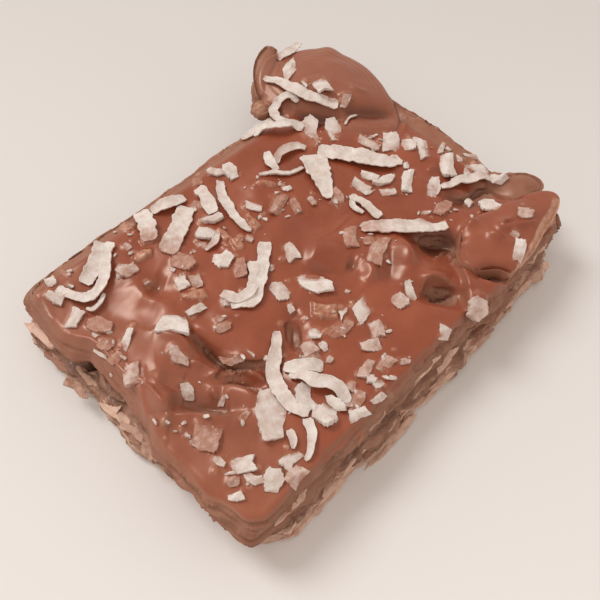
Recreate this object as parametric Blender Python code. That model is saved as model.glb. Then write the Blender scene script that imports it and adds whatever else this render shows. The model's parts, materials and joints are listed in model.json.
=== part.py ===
"""A hand-cut coconut nut bar: a flaky lower layer under a wavy chocolate layer.

The chocolate has run over at the back corner as a domed lobe and at the right
corner as a thick flap. Shreds and chips of coconut lie on it, fused to it.
The bar stands on z = 0 with its length along X. Sizes below are millimetres.
"""

import math
import random

import bmesh
import bpy
from mathutils import Matrix, Vector, noise

MM = 0.001

# Heights above the surface that the bar rests on.
BASE_TOP = 4.5
LAYER_GAP = 0.3
TOPPING_BOTTOM = BASE_TOP + LAYER_GAP
TOPPING_TOP = 10.4

# The two layers seen from above: centre, half length, half width, corner radius.
TOPPING_PLAN = dict(x=0.4, y=0.2, half_x=35.9, half_y=24.5, corner=2.6)
BASE_PLAN = dict(x=-0.6, y=-0.8, half_x=36.6, half_y=25.2, corner=4.0)

# Side profiles from the bottom up: height, and how far the side stands out there.
# The front was cut at a slant, so it stands out further the lower it is.
FRONT_SLANT = 0.27
BASE_SIDE = [(0.0, -0.7), (0.35, 0.1), (1.2, 0.35), (1.7, -0.55)]
BASE_SIDE += [(2.3, 0.15), (3.2, -0.1), (3.8, -0.95), (BASE_TOP, -1.3)]
TOPPING_SIDE = [(TOPPING_BOTTOM, -0.9), (5.5, 0.0), (6.6, 0.1), (7.8, 0.45), (9.3, 0.35), (10.0, -0.1)]

# Rings of the top, as distances in from the edge.
TOP_INSETS = [0.7, 2.2, 4.4, 7.2, 10.4, 14.0, 18.0, 21.6]
TOPPING_POINTS = 108
BASE_POINTS = 124

# Where an edge swells out (or draws in, when negative): x, y, width, reach.
TOPPING_BULGES = [
    (-36.0, -8.0, 11.0, 1.1),
    (-34.0, 22.0, 4.0, -0.6),
    (16.0, -24.5, 5.0, 1.3),
    (37.0, 2.0, 8.0, 0.9),
    (38.0, -14.4, 2.6, 3.4),
    (36.0, -9.5, 3.0, -0.8),
]
BASE_BULGES = [
    (-37.0, -15.5, 6.5, -1.6),
    (-36.5, -25.5, 4.0, -2.4),
    (-36.0, 23.0, 6.0, 0.5),
    (-10.0, -26.0, 3.2, 1.0),
    (8.0, -26.0, 9.0, 0.8),
    (28.0, -26.0, 8.0, 0.2),
    (38.0, -26.0, 6.0, -1.4),
    (33.0, 24.0, 9.0, -1.6),
]

# Waves of the chocolate: x, y, half length, half width, heading in degrees, rise.
WAVES = [
    (-28.0, 13.5, 8.0, 5.0, -35.0, -1.0),
    (-33.0, -2.5, 5.0, 2.0, -70.0, 0.7),
    (-27.5, -6.5, 5.5, 3.2, -50.0, -1.3),
    (-30.0, -10.5, 6.5, 1.3, -45.0, 0.8),
    (-22.5, -3.0, 3.5, 2.4, -40.0, -0.9),
    (-20.5, -9.5, 5.0, 2.2, -50.0, -1.2),
    (-15.0, -9.0, 3.0, 5.0, -50.0, -1.0),
    (-2.0, 4.0, 6.0, 4.0, -50.0, 0.7),
    (2.0, 13.5, 5.0, 3.5, 30.0, 0.8),
    (6.5, 2.5, 5.0, 4.0, -20.0, -0.8),
    (10.5, -10.5, 4.0, 4.0, 40.0, 0.9),
    (16.0, -15.0, 6.0, 2.8, -65.0, -1.7),
    (9.0, -19.5, 4.0, 1.6, -70.0, -1.3),
    (2.0, -19.0, 6.0, 3.0, -40.0, 0.5),
    (31.5, 12.5, 5.0, 3.6, -60.0, -1.8),
    (31.0, -9.0, 7.0, 2.2, -55.0, -1.2),
    (33.5, 1.5, 6.0, 3.0, -80.0, -0.6),
    (-12.0, 20.0, 9.0, 3.0, 0.0, -0.5),
]

# Overflowed chocolate: centre, heading, half length, half widths outward and inward, rise and fall.
BACK_LOBE = dict(x=29.6, y=24.2, z=9.2, heading=-64.0, long=14.6, out=9.6, inn=6.0, up=3.3, down=3.4)
LOBE_HOLLOW = dict(x=24.0, y=29.6, z=8.4, heading=40.0, long=7.6, out=5.2, inn=5.6, up=1.7, down=2.8)
RIGHT_FLAP = dict(x=28.4, y=-20.4, z=10.0, heading=-3.0, long=12.0, out=5.2, inn=5.0, up=2.0, down=2.6)
FINGER = dict(start=(19.4, 28.7, 9.6), middle=(23.6, 34.0, 10.6), end=(28.6, 36.2, 11.2), radius=1.45)
LUMP = dict(x=17.4, y=28.0, z=9.2, radius=1.9)

# How the picture that the places of the coconut were read from, 600 pixels square, sees the bar:
# angles in degrees, the distance from the point looked at in millimetres, the focal length in pixels.
VIEW = dict(azimuth=-51.8, elevation=58.6, roll=6.5, distance=117.0, x=-2.4, y=-1.4, focal=700.0, middle=300.0)

# Coconut shreds, by the pixel where each starts, read off the picture by eye. Then real sizes:
# heading, length, turn along the length, width, lift above the chocolate.
SHREDS = [
    (45, 288, -74.0, 17.5, 122.0, 1.8, 0.5),
    (87, 306, 196.0, 4.4, 10.0, 2.1, 0.3),
    (135, 326, 200.0, 4.8, 0.0, 1.7, 0.2),
    (137, 209, 247.0, 6.6, -8.0, 2.3, 0.3),
    (149, 210, -20.0, 6.0, 0.0, 2.0, 0.8),
    (186, 210, 210.0, 9.4, -12.0, 3.0, 0.4),
    (219, 181, -114.0, 11.0, 14.0, 1.5, 0.3),
    (265, 241, 232.0, 13.4, -78.0, 1.9, 0.5),
    (255, 135, -8.0, 13.5, -88.0, 1.7, 1.4),
    (272, 163, -4.0, 6.4, 0.0, 2.5, 0.5),
    (259, 168, 10.0, 5.0, 0.0, 1.7, 0.4),
    (259, 176, -37.0, 7.8, 10.0, 1.0, 0.3),
    (287, 95, 178.0, 9.8, 172.0, 1.8, 0.9),
    (263, 76, -72.0, 15.4, 0.0, 2.4, 0.5),
    (311, 86, -8.0, 5.8, 0.0, 3.0, 0.8),
    (319, 150, -32.0, 14.6, -34.0, 2.4, 0.9),
    (399, 158, 214.0, 4.6, 0.0, 2.2, 0.6),
    (305, 149, -126.0, 12.4, 34.0, 3.0, 0.6),
    (350, 192, -88.0, 6.8, 0.0, 1.9, 0.3),
    (365, 222, -48.0, 13.8, 0.0, 2.8, 0.4),
    (442, 190, -4.0, 14.0, -46.0, 1.7, 0.9),
    (278, 330, 222.0, 14.8, 62.0, 1.7, 0.6),
    (282, 367, -42.0, 6.2, 0.0, 1.8, 0.4),
    (300, 374, -44.0, 11.4, -104.0, 1.7, 0.6),
    (307, 419, 238.0, 6.4, -34.0, 1.2, 0.5),
    (277, 50, -80.0, 3.6, 0.0, 1.9, 1.0),
]

# Coconut chips, by the pixel of each one's middle, read off the picture by eye. Then real sizes:
# length, width, heading. The first lie on the chocolate, the others are half sunk in it.
CHIPS = [
    (98, 262, 5.6, 2.5, 40.0),
    (173, 323, 6.0, 4.4, -50.0),
    (189, 281, 4.2, 2.7, -30.0),
    (212, 203, 4.6, 2.1, 40.0),
    (209, 226, 4.8, 3.8, -30.0),
    (223, 257, 4.2, 3.8, -20.0),
    (290, 252, 3.6, 3.4, 0.0),
    (314, 287, 7.0, 4.2, -55.0),
    (277, 288, 4.0, 3.6, 0.0),
    (288, 69, 3.8, 3.4, 0.0),
    (334, 129, 3.6, 3.4, 20.0),
    (308, 132, 6.0, 3.4, 30.0),
    (369, 141, 4.6, 3.0, -50.0),
    (392, 141, 3.6, 3.2, 20.0),
    (418, 146, 5.6, 3.8, -50.0),
    (366, 178, 4.6, 3.0, -60.0),
    (388, 184, 3.6, 2.4, 20.0),
    (408, 180, 4.4, 2.2, 35.0),
    (448, 165, 4.8, 3.2, 35.0),
    (474, 162, 5.4, 3.4, -45.0),
    (434, 188, 3.8, 2.6, 20.0),
    (493, 207, 4.8, 3.8, 20.0),
    (519, 248, 3.8, 2.2, 30.0),
    (410, 290, 4.6, 2.0, 60.0),
    (363, 310, 6.0, 3.4, 60.0),
    (444, 332, 4.2, 2.3, 40.0),
    (270, 415, 10.4, 4.4, 38.0),
    (325, 416, 5.0, 4.0, -40.0),
    (290, 457, 4.6, 3.0, -20.0),
    (275, 477, 5.0, 3.2, 50.0),
    (357, 413, 3.8, 3.0, 0.0),
    (375, 382, 3.8, 2.9, 0.0),
    (186, 392, 3.6, 2.9, 0.0),
    (243, 465, 4.8, 2.9, -50.0),
    (420, 114, 3.8, 1.8, -50.0),
]
SUNK_CHIPS = [
    (276, 202, 4.2, 2.8, 30.0),
    (350, 236, 3.8, 2.5, 35.0),
    (378, 247, 5.0, 3.8, 20.0),
    (442, 207, 3.8, 3.0, 0.0),
    (526, 212, 3.6, 2.9, 0.0),
    (477, 303, 4.6, 3.4, 35.0),
    (197, 301, 5.0, 2.6, -50.0),
    (177, 353, 5.4, 3.2, -20.0),
    (323, 345, 3.0, 2.6, 30.0),
    (380, 330, 3.8, 2.5, 40.0),
    (387, 365, 3.8, 3.0, 0.0),
    (209, 440, 5.0, 4.4, 10.0),
    (244, 264, 4.0, 3.0, 0.0),
]
CHIP_STAND = 0.75
SUNK_STAND = 0.35
SHRED_THICK = 0.8

# Coconut strips that show in the cut sides of the lower layer.
FRONT_STRIPS = 15
FRONT_RUN = 66.0
END_STRIPS = 8
END_RUN = (21.0, -5.0)
STRIP_HEIGHTS = (1.0, 2.2, 3.3)
STRIP_LENGTH = (4.5, 9.0)
STRIP_THICK = 0.75
STRIP_REACH = 0.9
STICKING_CRUMB = dict(x=-37.8, y=-3.4, z=1.6, length=5.4, width=3.0, thick=1.7, heading=-72.0)
SEED = 27


def clear_scene():
    for old in list(bpy.data.objects):
        bpy.data.objects.remove(old, do_unlink=True)


def make_material(name, colour, roughness):
    material = bpy.data.materials.new(name)
    material.use_nodes = True
    shader = material.node_tree.nodes["Principled BSDF"]
    shader.inputs["Base Color"].default_value = (*colour, 1.0)
    shader.inputs["Roughness"].default_value = roughness
    shader.inputs["Metallic"].default_value = 0.0
    return material


def make_object(name, bm):
    """Scales a bmesh from millimetres, turns its faces outward and links it as an object."""
    bmesh.ops.scale(bm, vec=(MM, MM, MM), verts=bm.verts)
    bmesh.ops.recalc_face_normals(bm, faces=bm.faces)
    mesh = bpy.data.meshes.new(name)
    bm.to_mesh(mesh)
    bm.free()
    obj = bpy.data.objects.new(name, mesh)
    bpy.context.scene.collection.objects.link(obj)
    return obj


def along(heading):
    angle = math.radians(heading)
    return Vector((math.cos(angle), math.sin(angle), 0.0))


def hump(x, y, wave):
    """A smooth mound at (x, y): 1 at its middle, falling away over its half length and half width."""
    wave_x, wave_y, half_long, half_wide, heading = wave
    offset = Vector((x - wave_x, y - wave_y, 0.0))
    forward = along(heading)
    lengthways = offset.dot(forward) / half_long
    sideways = offset.dot(along(heading + 90.0)) / half_wide
    return math.exp(-(lengthways**2) - sideways**2)


def top_height(x, y):
    """The height of the chocolate's top surface, waves and ripples included."""
    waves = sum(rise * hump(x, y, shape) for *shape, rise in WAVES)
    ripple = 0.22 * noise.noise(Vector((x, y, 0.0)) * 0.22)
    return TOPPING_TOP + waves + ripple


def rounded_rectangle(plan, count):
    """Points spaced evenly round a rounded rectangle, each with its outward direction."""
    radius = plan["corner"]
    straight_x = plan["half_x"] - radius
    straight_y = plan["half_y"] - radius
    arc = radius * math.pi / 2
    legs = [2 * straight_y, arc, 2 * straight_x, arc]
    total = 2 * sum(legs)
    corners = [(1, 1), (-1, 1), (-1, -1), (1, -1)]
    points = []
    for index in range(count):
        distance = total * index / count
        quarter = 0
        while distance > legs[(2 * quarter) % 4] + arc:
            distance -= legs[(2 * quarter) % 4] + arc
            quarter += 1
        straight = legs[(2 * quarter) % 4]
        side = Matrix.Rotation(quarter * math.pi / 2, 3, "Z") @ Vector((1, 0, 0))
        ahead = Matrix.Rotation(math.pi / 2, 3, "Z") @ side
        corner = Vector((corners[quarter][0] * straight_x, corners[quarter][1] * straight_y, 0.0))
        if distance <= straight:
            place = corner + side * radius - ahead * (straight - distance)
            outward = side
        else:
            turn = (distance - straight) / radius
            outward = side * math.cos(turn) + ahead * math.sin(turn)
            place = corner + outward * radius
        points.append((place + Vector((plan["x"], plan["y"], 0.0)), outward))
    return points


def swell(place, bulges):
    """How far an edge stands out at a place, from all the bulges near it."""
    total = 0.0
    for x, y, width, reach in bulges:
        distance = math.hypot(place.x - x, place.y - y)
        total += reach * math.exp(-((distance / width) ** 2))
    return total


def raggedness(place, height, roughness, seed):
    """A stepped unevenness of a cut side, which changes along the side and with height."""
    coarse = noise.noise(Vector((place.x * 0.16, place.y * 0.16, height * 0.3 + seed)))
    fine = noise.noise(Vector((place.x * 0.55, place.y * 0.55, height * 1.1 + seed)))
    return roughness * (0.8 * coarse + 0.7 * fine)


def cut_roughness(place):
    """The chocolate rolls smoothly over the left end, and is torn along the front and its left corner."""
    torn_front = 1.0 if place.y < -20.0 else 0.35
    near_corner = math.exp(-((place.x + 36.0) ** 2 + (place.y + 17.0) ** 2) / 60.0)
    return max(torn_front, 1.2 * near_corner)


def stitch_rings(bm, rings):
    count = len(rings[0])
    for lower, upper in zip(rings, rings[1:]):
        for index in range(count):
            following = (index + 1) % count
            bm.faces.new((lower[index], lower[following], upper[following], upper[index]))


def layer_sides(bm, points, side, bulges, roughness, seed):
    """Vertex rings of a layer's side, from the bottom up."""
    rings = []
    for height, reach in side:
        ring = []
        for place, outward in points:
            wobble = raggedness(place, height, roughness(place), seed)
            slant = FRONT_SLANT * (side[-1][0] - height) * max(0.0, -outward.y)
            out = reach + slant + swell(place, bulges) + wobble
            ring.append(bm.verts.new(place + outward * out + Vector((0.0, 0.0, height))))
        rings.append(ring)
    return rings


def make_base():
    bm = bmesh.new()
    points = rounded_rectangle(BASE_PLAN, BASE_POINTS)
    rings = layer_sides(bm, points, BASE_SIDE, BASE_BULGES, lambda place: 1.3, 4.0)
    stitch_rings(bm, rings)
    bm.faces.new(rings[0])
    bm.faces.new(rings[-1])
    bmesh.ops.triangulate(bm, faces=[face for face in bm.faces if len(face.verts) > 4])
    return make_object("coconut_nut_base", bm)


def make_topping_slab():
    bm = bmesh.new()
    points = rounded_rectangle(TOPPING_PLAN, TOPPING_POINTS)
    rings = layer_sides(bm, points, TOPPING_SIDE, TOPPING_BULGES, cut_roughness, 9.0)
    medial = TOPPING_PLAN["half_x"] - TOPPING_PLAN["half_y"]
    for inset in TOP_INSETS:
        ring = []
        for place, outward in points:
            edge = place + outward * swell(place, TOPPING_BULGES)
            anchor_x = max(-medial, min(medial, edge.x - TOPPING_PLAN["x"])) + TOPPING_PLAN["x"]
            anchor = Vector((anchor_x, TOPPING_PLAN["y"], 0.0))
            spot = anchor.lerp(edge, 1.0 - inset / TOPPING_PLAN["half_y"])
            ring.append(bm.verts.new((spot.x, spot.y, top_height(spot.x, spot.y))))
        rings.append(ring)
    stitch_rings(bm, rings)
    bm.faces.new(rings[0])
    bm.faces.new(rings[-1])
    bmesh.ops.triangulate(bm, faces=[face for face in bm.faces if len(face.verts) > 4])
    return make_object("chocolate_topping", bm)


def make_dome(name, dome, around=22, levels=9):
    """A flattened, lopsided dome of run-over chocolate."""
    bm = bmesh.new()
    forward = along(dome["heading"])
    outward = along(dome["heading"] + 90.0)
    middle = Vector((dome["x"], dome["y"], dome["z"]))
    rings = []
    for level in range(1, levels):
        tilt = math.pi * (level / levels - 0.5)
        rise = (dome["up"] if tilt > 0 else dome["down"]) * math.sin(tilt)
        ring = []
        for index in range(around):
            turn = 2 * math.pi * index / around
            half_wide = dome["out"] if math.sin(turn) > 0 else dome["inn"]
            spread = forward * (dome["long"] * math.cos(turn)) + outward * (half_wide * math.sin(turn))
            ring.append(bm.verts.new(middle + spread * math.cos(tilt) + Vector((0.0, 0.0, rise))))
        rings.append(ring)
    stitch_rings(bm, rings)
    for ring, pole_rise in ((rings[0], -dome["down"]), (rings[-1], dome["up"])):
        pole = bm.verts.new(middle + Vector((0.0, 0.0, pole_rise)))
        for index in range(around):
            bm.faces.new((ring[index], ring[(index + 1) % around], pole))
    return make_object(name, bm)


def make_finger():
    """The curled roll of chocolate at the lobe's left edge, along a curve through three points."""
    start, middle, end = (Vector(FINGER[key]) for key in ("start", "middle", "end"))
    bm = bmesh.new()
    steps, around = 9, 8
    rings = []
    for step in range(steps + 1):
        part = step / steps
        bend = middle * 2 - (start + end) / 2
        place = start * (1 - part) ** 2 + bend * (2 * part * (1 - part)) + end * part**2
        heading = ((bend - start) * (1 - part) + (end - bend) * part).normalized()
        across = heading.cross(Vector((0, 0, 1))).normalized()
        above = across.cross(heading)
        radius = FINGER["radius"] * (0.45 + 0.55 * math.sin(math.pi * (0.12 + 0.76 * part)))
        ring = []
        for index in range(around):
            turn = 2 * math.pi * index / around
            ring.append(bm.verts.new(place + (across * math.cos(turn) + above * math.sin(turn)) * radius))
        rings.append(ring)
    stitch_rings(bm, rings)
    bm.faces.new(rings[0])
    bm.faces.new(rings[-1])
    return make_object("finger", bm)


def make_lump():
    bm = bmesh.new()
    place = Matrix.Translation((LUMP["x"], LUMP["y"], LUMP["z"]))
    bmesh.ops.create_icosphere(bm, subdivisions=1, radius=LUMP["radius"], matrix=place)
    return make_object("lump", bm)


def surface_height(x, y):
    """The height of what a shred lies on: the slab, or a dome where one stands higher."""
    height = top_height(x, y)
    for dome in (BACK_LOBE, RIGHT_FLAP):
        offset = Vector((x - dome["x"], y - dome["y"], 0.0))
        lengthways = offset.dot(along(dome["heading"])) / dome["long"]
        sideways = offset.dot(along(dome["heading"] + 90.0))
        sideways /= dome["out"] if sideways > 0 else dome["inn"]
        spread = lengthways**2 + sideways**2
        if spread < 1.0:
            height = max(height, dome["z"] + dome["up"] * math.sqrt(1.0 - spread))
    return height


def seen_at(pixel_x, pixel_y, height):
    """The place at a height that the picture shows at a pixel."""
    tilt, roll = math.radians(VIEW["elevation"]), math.radians(VIEW["roll"])
    level = along(VIEW["azimuth"])
    back = along(VIEW["azimuth"] - 90.0) * math.cos(tilt) + Vector((0.0, 0.0, math.sin(tilt)))
    upright = back.cross(level)
    right = level * math.cos(roll) + upright * math.sin(roll)
    up = upright * math.cos(roll) - level * math.sin(roll)
    eye = Vector((VIEW["x"], VIEW["y"], 0.0)) + back * VIEW["distance"]
    sideways, upward = pixel_x - VIEW["middle"], VIEW["middle"] - pixel_y
    ray = right * sideways + up * upward - back * VIEW["focal"]
    return eye + ray * ((height - eye.z) / ray.z)


def seen_on_top(pixel_x, pixel_y):
    """The place of a pixel on the top: its level gives a place, and the place a better level."""
    place = seen_at(pixel_x, pixel_y, TOPPING_TOP)
    for _ in range(3):
        place = seen_at(pixel_x, pixel_y, surface_height(place.x, place.y))
    return place


def make_shred(index, shred, draw):
    """A strip of coconut that follows an arc over the chocolate, sinking in a little at its ends."""
    pixel_x, pixel_y, heading, length, turn, width, lift = shred
    steps = max(3, round(length / 2.2))
    bm = bmesh.new()
    place = seen_on_top(pixel_x, pixel_y)
    place.z = 0.0
    rings = []
    for step in range(steps + 1):
        part = step / steps
        here = heading + turn * part
        across = along(here + 90.0)
        rise = surface_height(place.x, place.y) + lift * math.sin(math.pi * part)
        half = 0.5 * width * (0.6 if step in (0, steps) else draw.uniform(0.9, 1.1))
        twist = draw.uniform(-0.14, 0.14)
        corners = [(-half, -0.7 - twist), (half, -0.7 + twist), (half, 0.45 + twist), (-half, 0.45 - twist)]
        ring = []
        for sideways, upward in corners:
            spot = place + across * sideways
            ring.append(bm.verts.new((spot.x, spot.y, rise + upward * SHRED_THICK)))
        rings.append(ring)
        place = place + along(here + 0.5 * turn / steps) * (length / steps)
    stitch_rings(bm, rings)
    bm.faces.new(rings[0])
    bm.faces.new(rings[-1])
    bmesh.ops.triangulate(bm, faces=bm.faces)
    return make_object(f"shred_{index}", bm)


def make_chip(name, chip, stand, draw):
    """A broken flake of coconut: a five or six cornered plate, a little tilted, partly sunk."""
    pixel_x, pixel_y, length, width, heading = chip
    x, y, _ = seen_on_top(pixel_x, pixel_y)
    corners = draw.choice((5, 6))
    forward, across = along(heading), along(heading + 90.0)
    lean = Vector((draw.uniform(-0.14, 0.14), draw.uniform(-0.14, 0.14)))
    ground = surface_height(x, y)
    bm = bmesh.new()
    lower, upper = [], []
    for index in range(corners):
        turn = 2 * math.pi * (index + draw.uniform(-0.32, 0.32)) / corners
        size = draw.uniform(0.48, 0.62)
        spot = forward * (size * length * math.cos(turn)) + across * (size * width * math.sin(turn))
        tilt = spot.x * lean.x + spot.y * lean.y
        lower.append(bm.verts.new((x + spot.x, y + spot.y, ground - 1.3)))
        upper.append(bm.verts.new((x + 0.9 * spot.x, y + 0.9 * spot.y, ground + stand + tilt)))
    stitch_rings(bm, [lower, upper])
    bm.faces.new(lower)
    bm.faces.new(upper)
    bmesh.ops.triangulate(bm, faces=bm.faces)
    return make_object(name, bm)


def make_strip(name, middle, heading, length, reach, thick, slope):
    """A pointed strip that lies in a cut side and shows as a thin ledge."""
    forward, across = along(heading), along(heading + 90.0)
    bm = bmesh.new()
    stations = [(-0.5, 0.25, 0.4), (-0.28, 1.0, 1.0), (0.05, 0.8, 1.0), (0.32, 1.0, 0.9), (0.5, 0.3, 0.35)]
    rings = []
    for part, spread, depth in stations:
        centre = Vector(middle) + forward * (part * length) + Vector((0.0, 0.0, slope * part * length))
        ring = []
        for sideways, upward in ((-1, -0.5), (1, -0.5), (1, 0.5), (-1, 0.5)):
            offset = across * (sideways * reach * spread) + Vector((0.0, 0.0, upward * thick * depth))
            ring.append(bm.verts.new(centre + offset))
        rings.append(ring)
    stitch_rings(bm, rings)
    bm.faces.new(rings[0])
    bm.faces.new(rings[-1])
    bmesh.ops.triangulate(bm, faces=bm.faces)
    return make_object(name, bm)


def side_strip(name, middle, heading, draw):
    """A strip that lies along a cut side, as long and as level as the draw gives."""
    length = draw.uniform(*STRIP_LENGTH)
    slope = draw.uniform(-0.04, 0.04)
    heading += draw.uniform(-5.0, 5.0)
    return make_strip(name, middle, heading, length, STRIP_REACH, STRIP_THICK, slope)


def base_strips(draw):
    """Strips along the front side, along the left end, and the crumb that sticks out there."""
    pieces = []
    front = BASE_PLAN["y"] - BASE_PLAN["half_y"]
    for index in range(FRONT_STRIPS):
        x = FRONT_RUN * ((index + draw.uniform(0.2, 0.8)) / FRONT_STRIPS - 0.5)
        z = draw.choice(STRIP_HEIGHTS)
        out = FRONT_SLANT * (BASE_TOP - z) + swell(Vector((x, front, 0.0)), BASE_BULGES)
        pieces.append(side_strip(f"front_{index}", (x, front - out, z), 0.0, draw))
    left = BASE_PLAN["x"] - BASE_PLAN["half_x"]
    for index in range(END_STRIPS):
        part = (index + draw.uniform(0.2, 0.8)) / END_STRIPS
        y = END_RUN[0] + (END_RUN[1] - END_RUN[0]) * part
        x = left - swell(Vector((left, y, 0.0)), BASE_BULGES)
        pieces.append(side_strip(f"end_{index}", (x, y, draw.choice(STRIP_HEIGHTS)), 90.0, draw))
    crumb = STICKING_CRUMB
    middle = (crumb["x"], crumb["y"], crumb["z"])
    size = (crumb["length"], crumb["width"] / 2, crumb["thick"])
    pieces.append(make_strip("crumb", middle, crumb["heading"], *size, 0.0))
    return pieces


def fuse(body, pieces, solver):
    """Joins the pieces to the body by one Boolean union, and removes them."""
    collection = bpy.data.collections.new("fused")
    bpy.context.scene.collection.children.link(collection)
    for piece in pieces:
        collection.objects.link(piece)
        bpy.context.scene.collection.objects.unlink(piece)
    modifier = body.modifiers.new("fuse", "BOOLEAN")
    modifier.operation = "UNION"
    modifier.operand_type = "COLLECTION"
    modifier.collection = collection
    modifier.solver = solver
    graph = bpy.context.evaluated_depsgraph_get()
    joined = bpy.data.meshes.new_from_object(body.evaluated_get(graph))
    body.modifiers.clear()
    body.data = joined
    for piece in pieces:
        bpy.data.objects.remove(piece, do_unlink=True)
    bpy.data.collections.remove(collection)


def keep_largest_body(body):
    """Drops loose scraps, so that the node is one closed body."""
    bm = bmesh.new()
    bm.from_mesh(body.data)
    bm.verts.ensure_lookup_table()
    unseen = set(bm.verts)
    groups = []
    while unseen:
        front = [unseen.pop()]
        group = set(front)
        while front:
            vert = front.pop()
            for edge in vert.link_edges:
                other = edge.other_vert(vert)
                if other in unseen:
                    unseen.discard(other)
                    group.add(other)
                    front.append(other)
        groups.append(group)
    groups.sort(key=len, reverse=True)
    for group in groups[1:]:
        bmesh.ops.delete(bm, geom=list(group), context="VERTS")
    bmesh.ops.triangulate(bm, faces=bm.faces)
    bm.to_mesh(body.data)
    bm.free()


def finish_surface(body, material):
    body.data.materials.clear()
    body.data.materials.append(material)
    body.data.shade_smooth()
    body.data.set_sharp_from_angle(angle=math.radians(38.0))


def main():
    clear_scene()
    draw = random.Random(SEED)
    chocolate = make_material("milk_chocolate", (0.35, 0.105, 0.06), 0.35)
    flaky = make_material("nut_and_coconut_layer", (0.22, 0.10, 0.065), 0.7)

    base = make_base()
    fuse(base, base_strips(draw), "MANIFOLD")
    keep_largest_body(base)
    finish_surface(base, flaky)

    topping = make_topping_slab()
    pieces = [make_dome("lobe", BACK_LOBE), make_dome("flap", RIGHT_FLAP)]
    pieces += [make_dome("hollow", LOBE_HOLLOW, 16, 7), make_finger(), make_lump()]
    pieces += [make_shred(index, shred, draw) for index, shred in enumerate(SHREDS)]
    pieces += [make_chip(f"chip_{index}", chip, CHIP_STAND, draw) for index, chip in enumerate(CHIPS)]
    pieces += [make_chip(f"sunk_{index}", chip, SUNK_STAND, draw) for index, chip in enumerate(SUNK_CHIPS)]
    fuse(topping, pieces, "MANIFOLD")
    keep_largest_body(topping)
    finish_surface(topping, chocolate)


main()
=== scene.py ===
# %% [markdown]
# # A hand-cut coconut nut bar
#
# The real bar is a slab of two layers: a flaky one of nuts, coconut and chocolate below, and
# a wavy layer of milk chocolate above, strewn with shreds and chips of dried coconut. The
# chocolate ran over at two corners before it set, as a domed lobe and as a thick flap.
#
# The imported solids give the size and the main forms. This script makes the surfaces around
# them. All shapes are worked out in millimetres and become metres when a mesh is finished.

# %% The frame
import itertools
import json
import math
import random

import bmesh
import bpy
import numpy as np
from mathutils import Matrix, Vector, noise
from mathutils.bvhtree import BVHTree

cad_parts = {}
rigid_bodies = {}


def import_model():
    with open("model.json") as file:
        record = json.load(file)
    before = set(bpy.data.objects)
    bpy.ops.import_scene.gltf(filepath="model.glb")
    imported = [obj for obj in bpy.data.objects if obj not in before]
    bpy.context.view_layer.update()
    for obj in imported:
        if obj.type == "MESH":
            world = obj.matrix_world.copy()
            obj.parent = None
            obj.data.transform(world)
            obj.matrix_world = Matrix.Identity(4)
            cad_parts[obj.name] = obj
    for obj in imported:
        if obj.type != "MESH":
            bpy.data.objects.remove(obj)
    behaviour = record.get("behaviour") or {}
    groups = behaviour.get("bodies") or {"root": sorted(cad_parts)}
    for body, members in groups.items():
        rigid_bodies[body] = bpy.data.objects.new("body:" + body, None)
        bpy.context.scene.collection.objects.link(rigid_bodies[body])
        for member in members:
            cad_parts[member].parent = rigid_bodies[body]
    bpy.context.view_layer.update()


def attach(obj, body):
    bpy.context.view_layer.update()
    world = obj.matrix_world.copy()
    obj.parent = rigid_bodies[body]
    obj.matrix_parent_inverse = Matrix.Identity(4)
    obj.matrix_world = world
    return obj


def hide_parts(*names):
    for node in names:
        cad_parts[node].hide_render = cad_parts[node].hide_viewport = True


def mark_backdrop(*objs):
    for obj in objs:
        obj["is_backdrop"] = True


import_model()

# %% [markdown]
# ## The camera
#
# The picture looks down on the bar from its left front corner, from close by, with the
# camera rolled a little. A camera is easiest to place by the point that it looks at: its
# back points from there towards the lens, and the roll turns its right and up about that.

# %% Camera
MM = 0.001
CAMERA = dict(azimuth=-51.8, elevation=58.6, roll=6.5, distance=117.0, target=(-2.4, -1.4, 0.0))
CAMERA_LENS = 42.0


def place_camera(azimuth, elevation, roll, distance, target):
    a, e, r = (math.radians(angle) for angle in (azimuth, elevation, roll))
    back = Vector((math.sin(a) * math.cos(e), -math.cos(a) * math.cos(e), math.sin(e)))
    level = Vector((math.cos(a), math.sin(a), 0.0))
    upright = back.cross(level)
    right = level * math.cos(r) + upright * math.sin(r)
    up = upright * math.cos(r) - level * math.sin(r)
    turn = Matrix((right, up, back)).transposed().to_4x4()
    turn.translation = (Vector(target) + back * distance) * MM
    camera = bpy.data.objects.new("camera", bpy.data.cameras.new("camera"))
    camera.data.lens = CAMERA_LENS
    camera.data.clip_start = 0.01
    camera.matrix_world = turn
    bpy.context.scene.collection.objects.link(camera)
    bpy.context.scene.camera = camera
    return camera


camera = place_camera(**CAMERA)
print("camera at", [round(v, 4) for v in camera.matrix_world.translation])

# %% [markdown]
# ## From the picture to the bar
#
# The places of the coconut and of the folds were read off the picture, as pixels of
# its 600 by 600. A pixel is a line of sight from the camera. Where that line meets what is
# already made is the place that the pixel shows, so a piece sits on what carries it. Sizes
# that drive a shape, such as widths and rises, are given in millimetres instead.

# %% Lines of sight
PICTURE = 600
SENSOR = 36.0
FOCAL_PIXELS = PICTURE * CAMERA_LENS / SENSOR
EYE = np.array(camera.matrix_world.translation) / MM
AXES = np.array(camera.matrix_world.to_3x3())
TOPPING_TOP = 10.4
LOWEST_SEEN = 8.5
stack = []


def sight(x, y):
    """The direction from the camera through a pixel."""
    ray = AXES @ np.array([x - PICTURE / 2, PICTURE / 2 - y, -FOCAL_PIXELS])
    return ray / np.linalg.norm(ray)


def seen_at(x, y, height):
    """The place at a height that a pixel shows."""
    ray = sight(x, y)
    return EYE + ray * ((height - EYE[2]) / ray[2])


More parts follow.
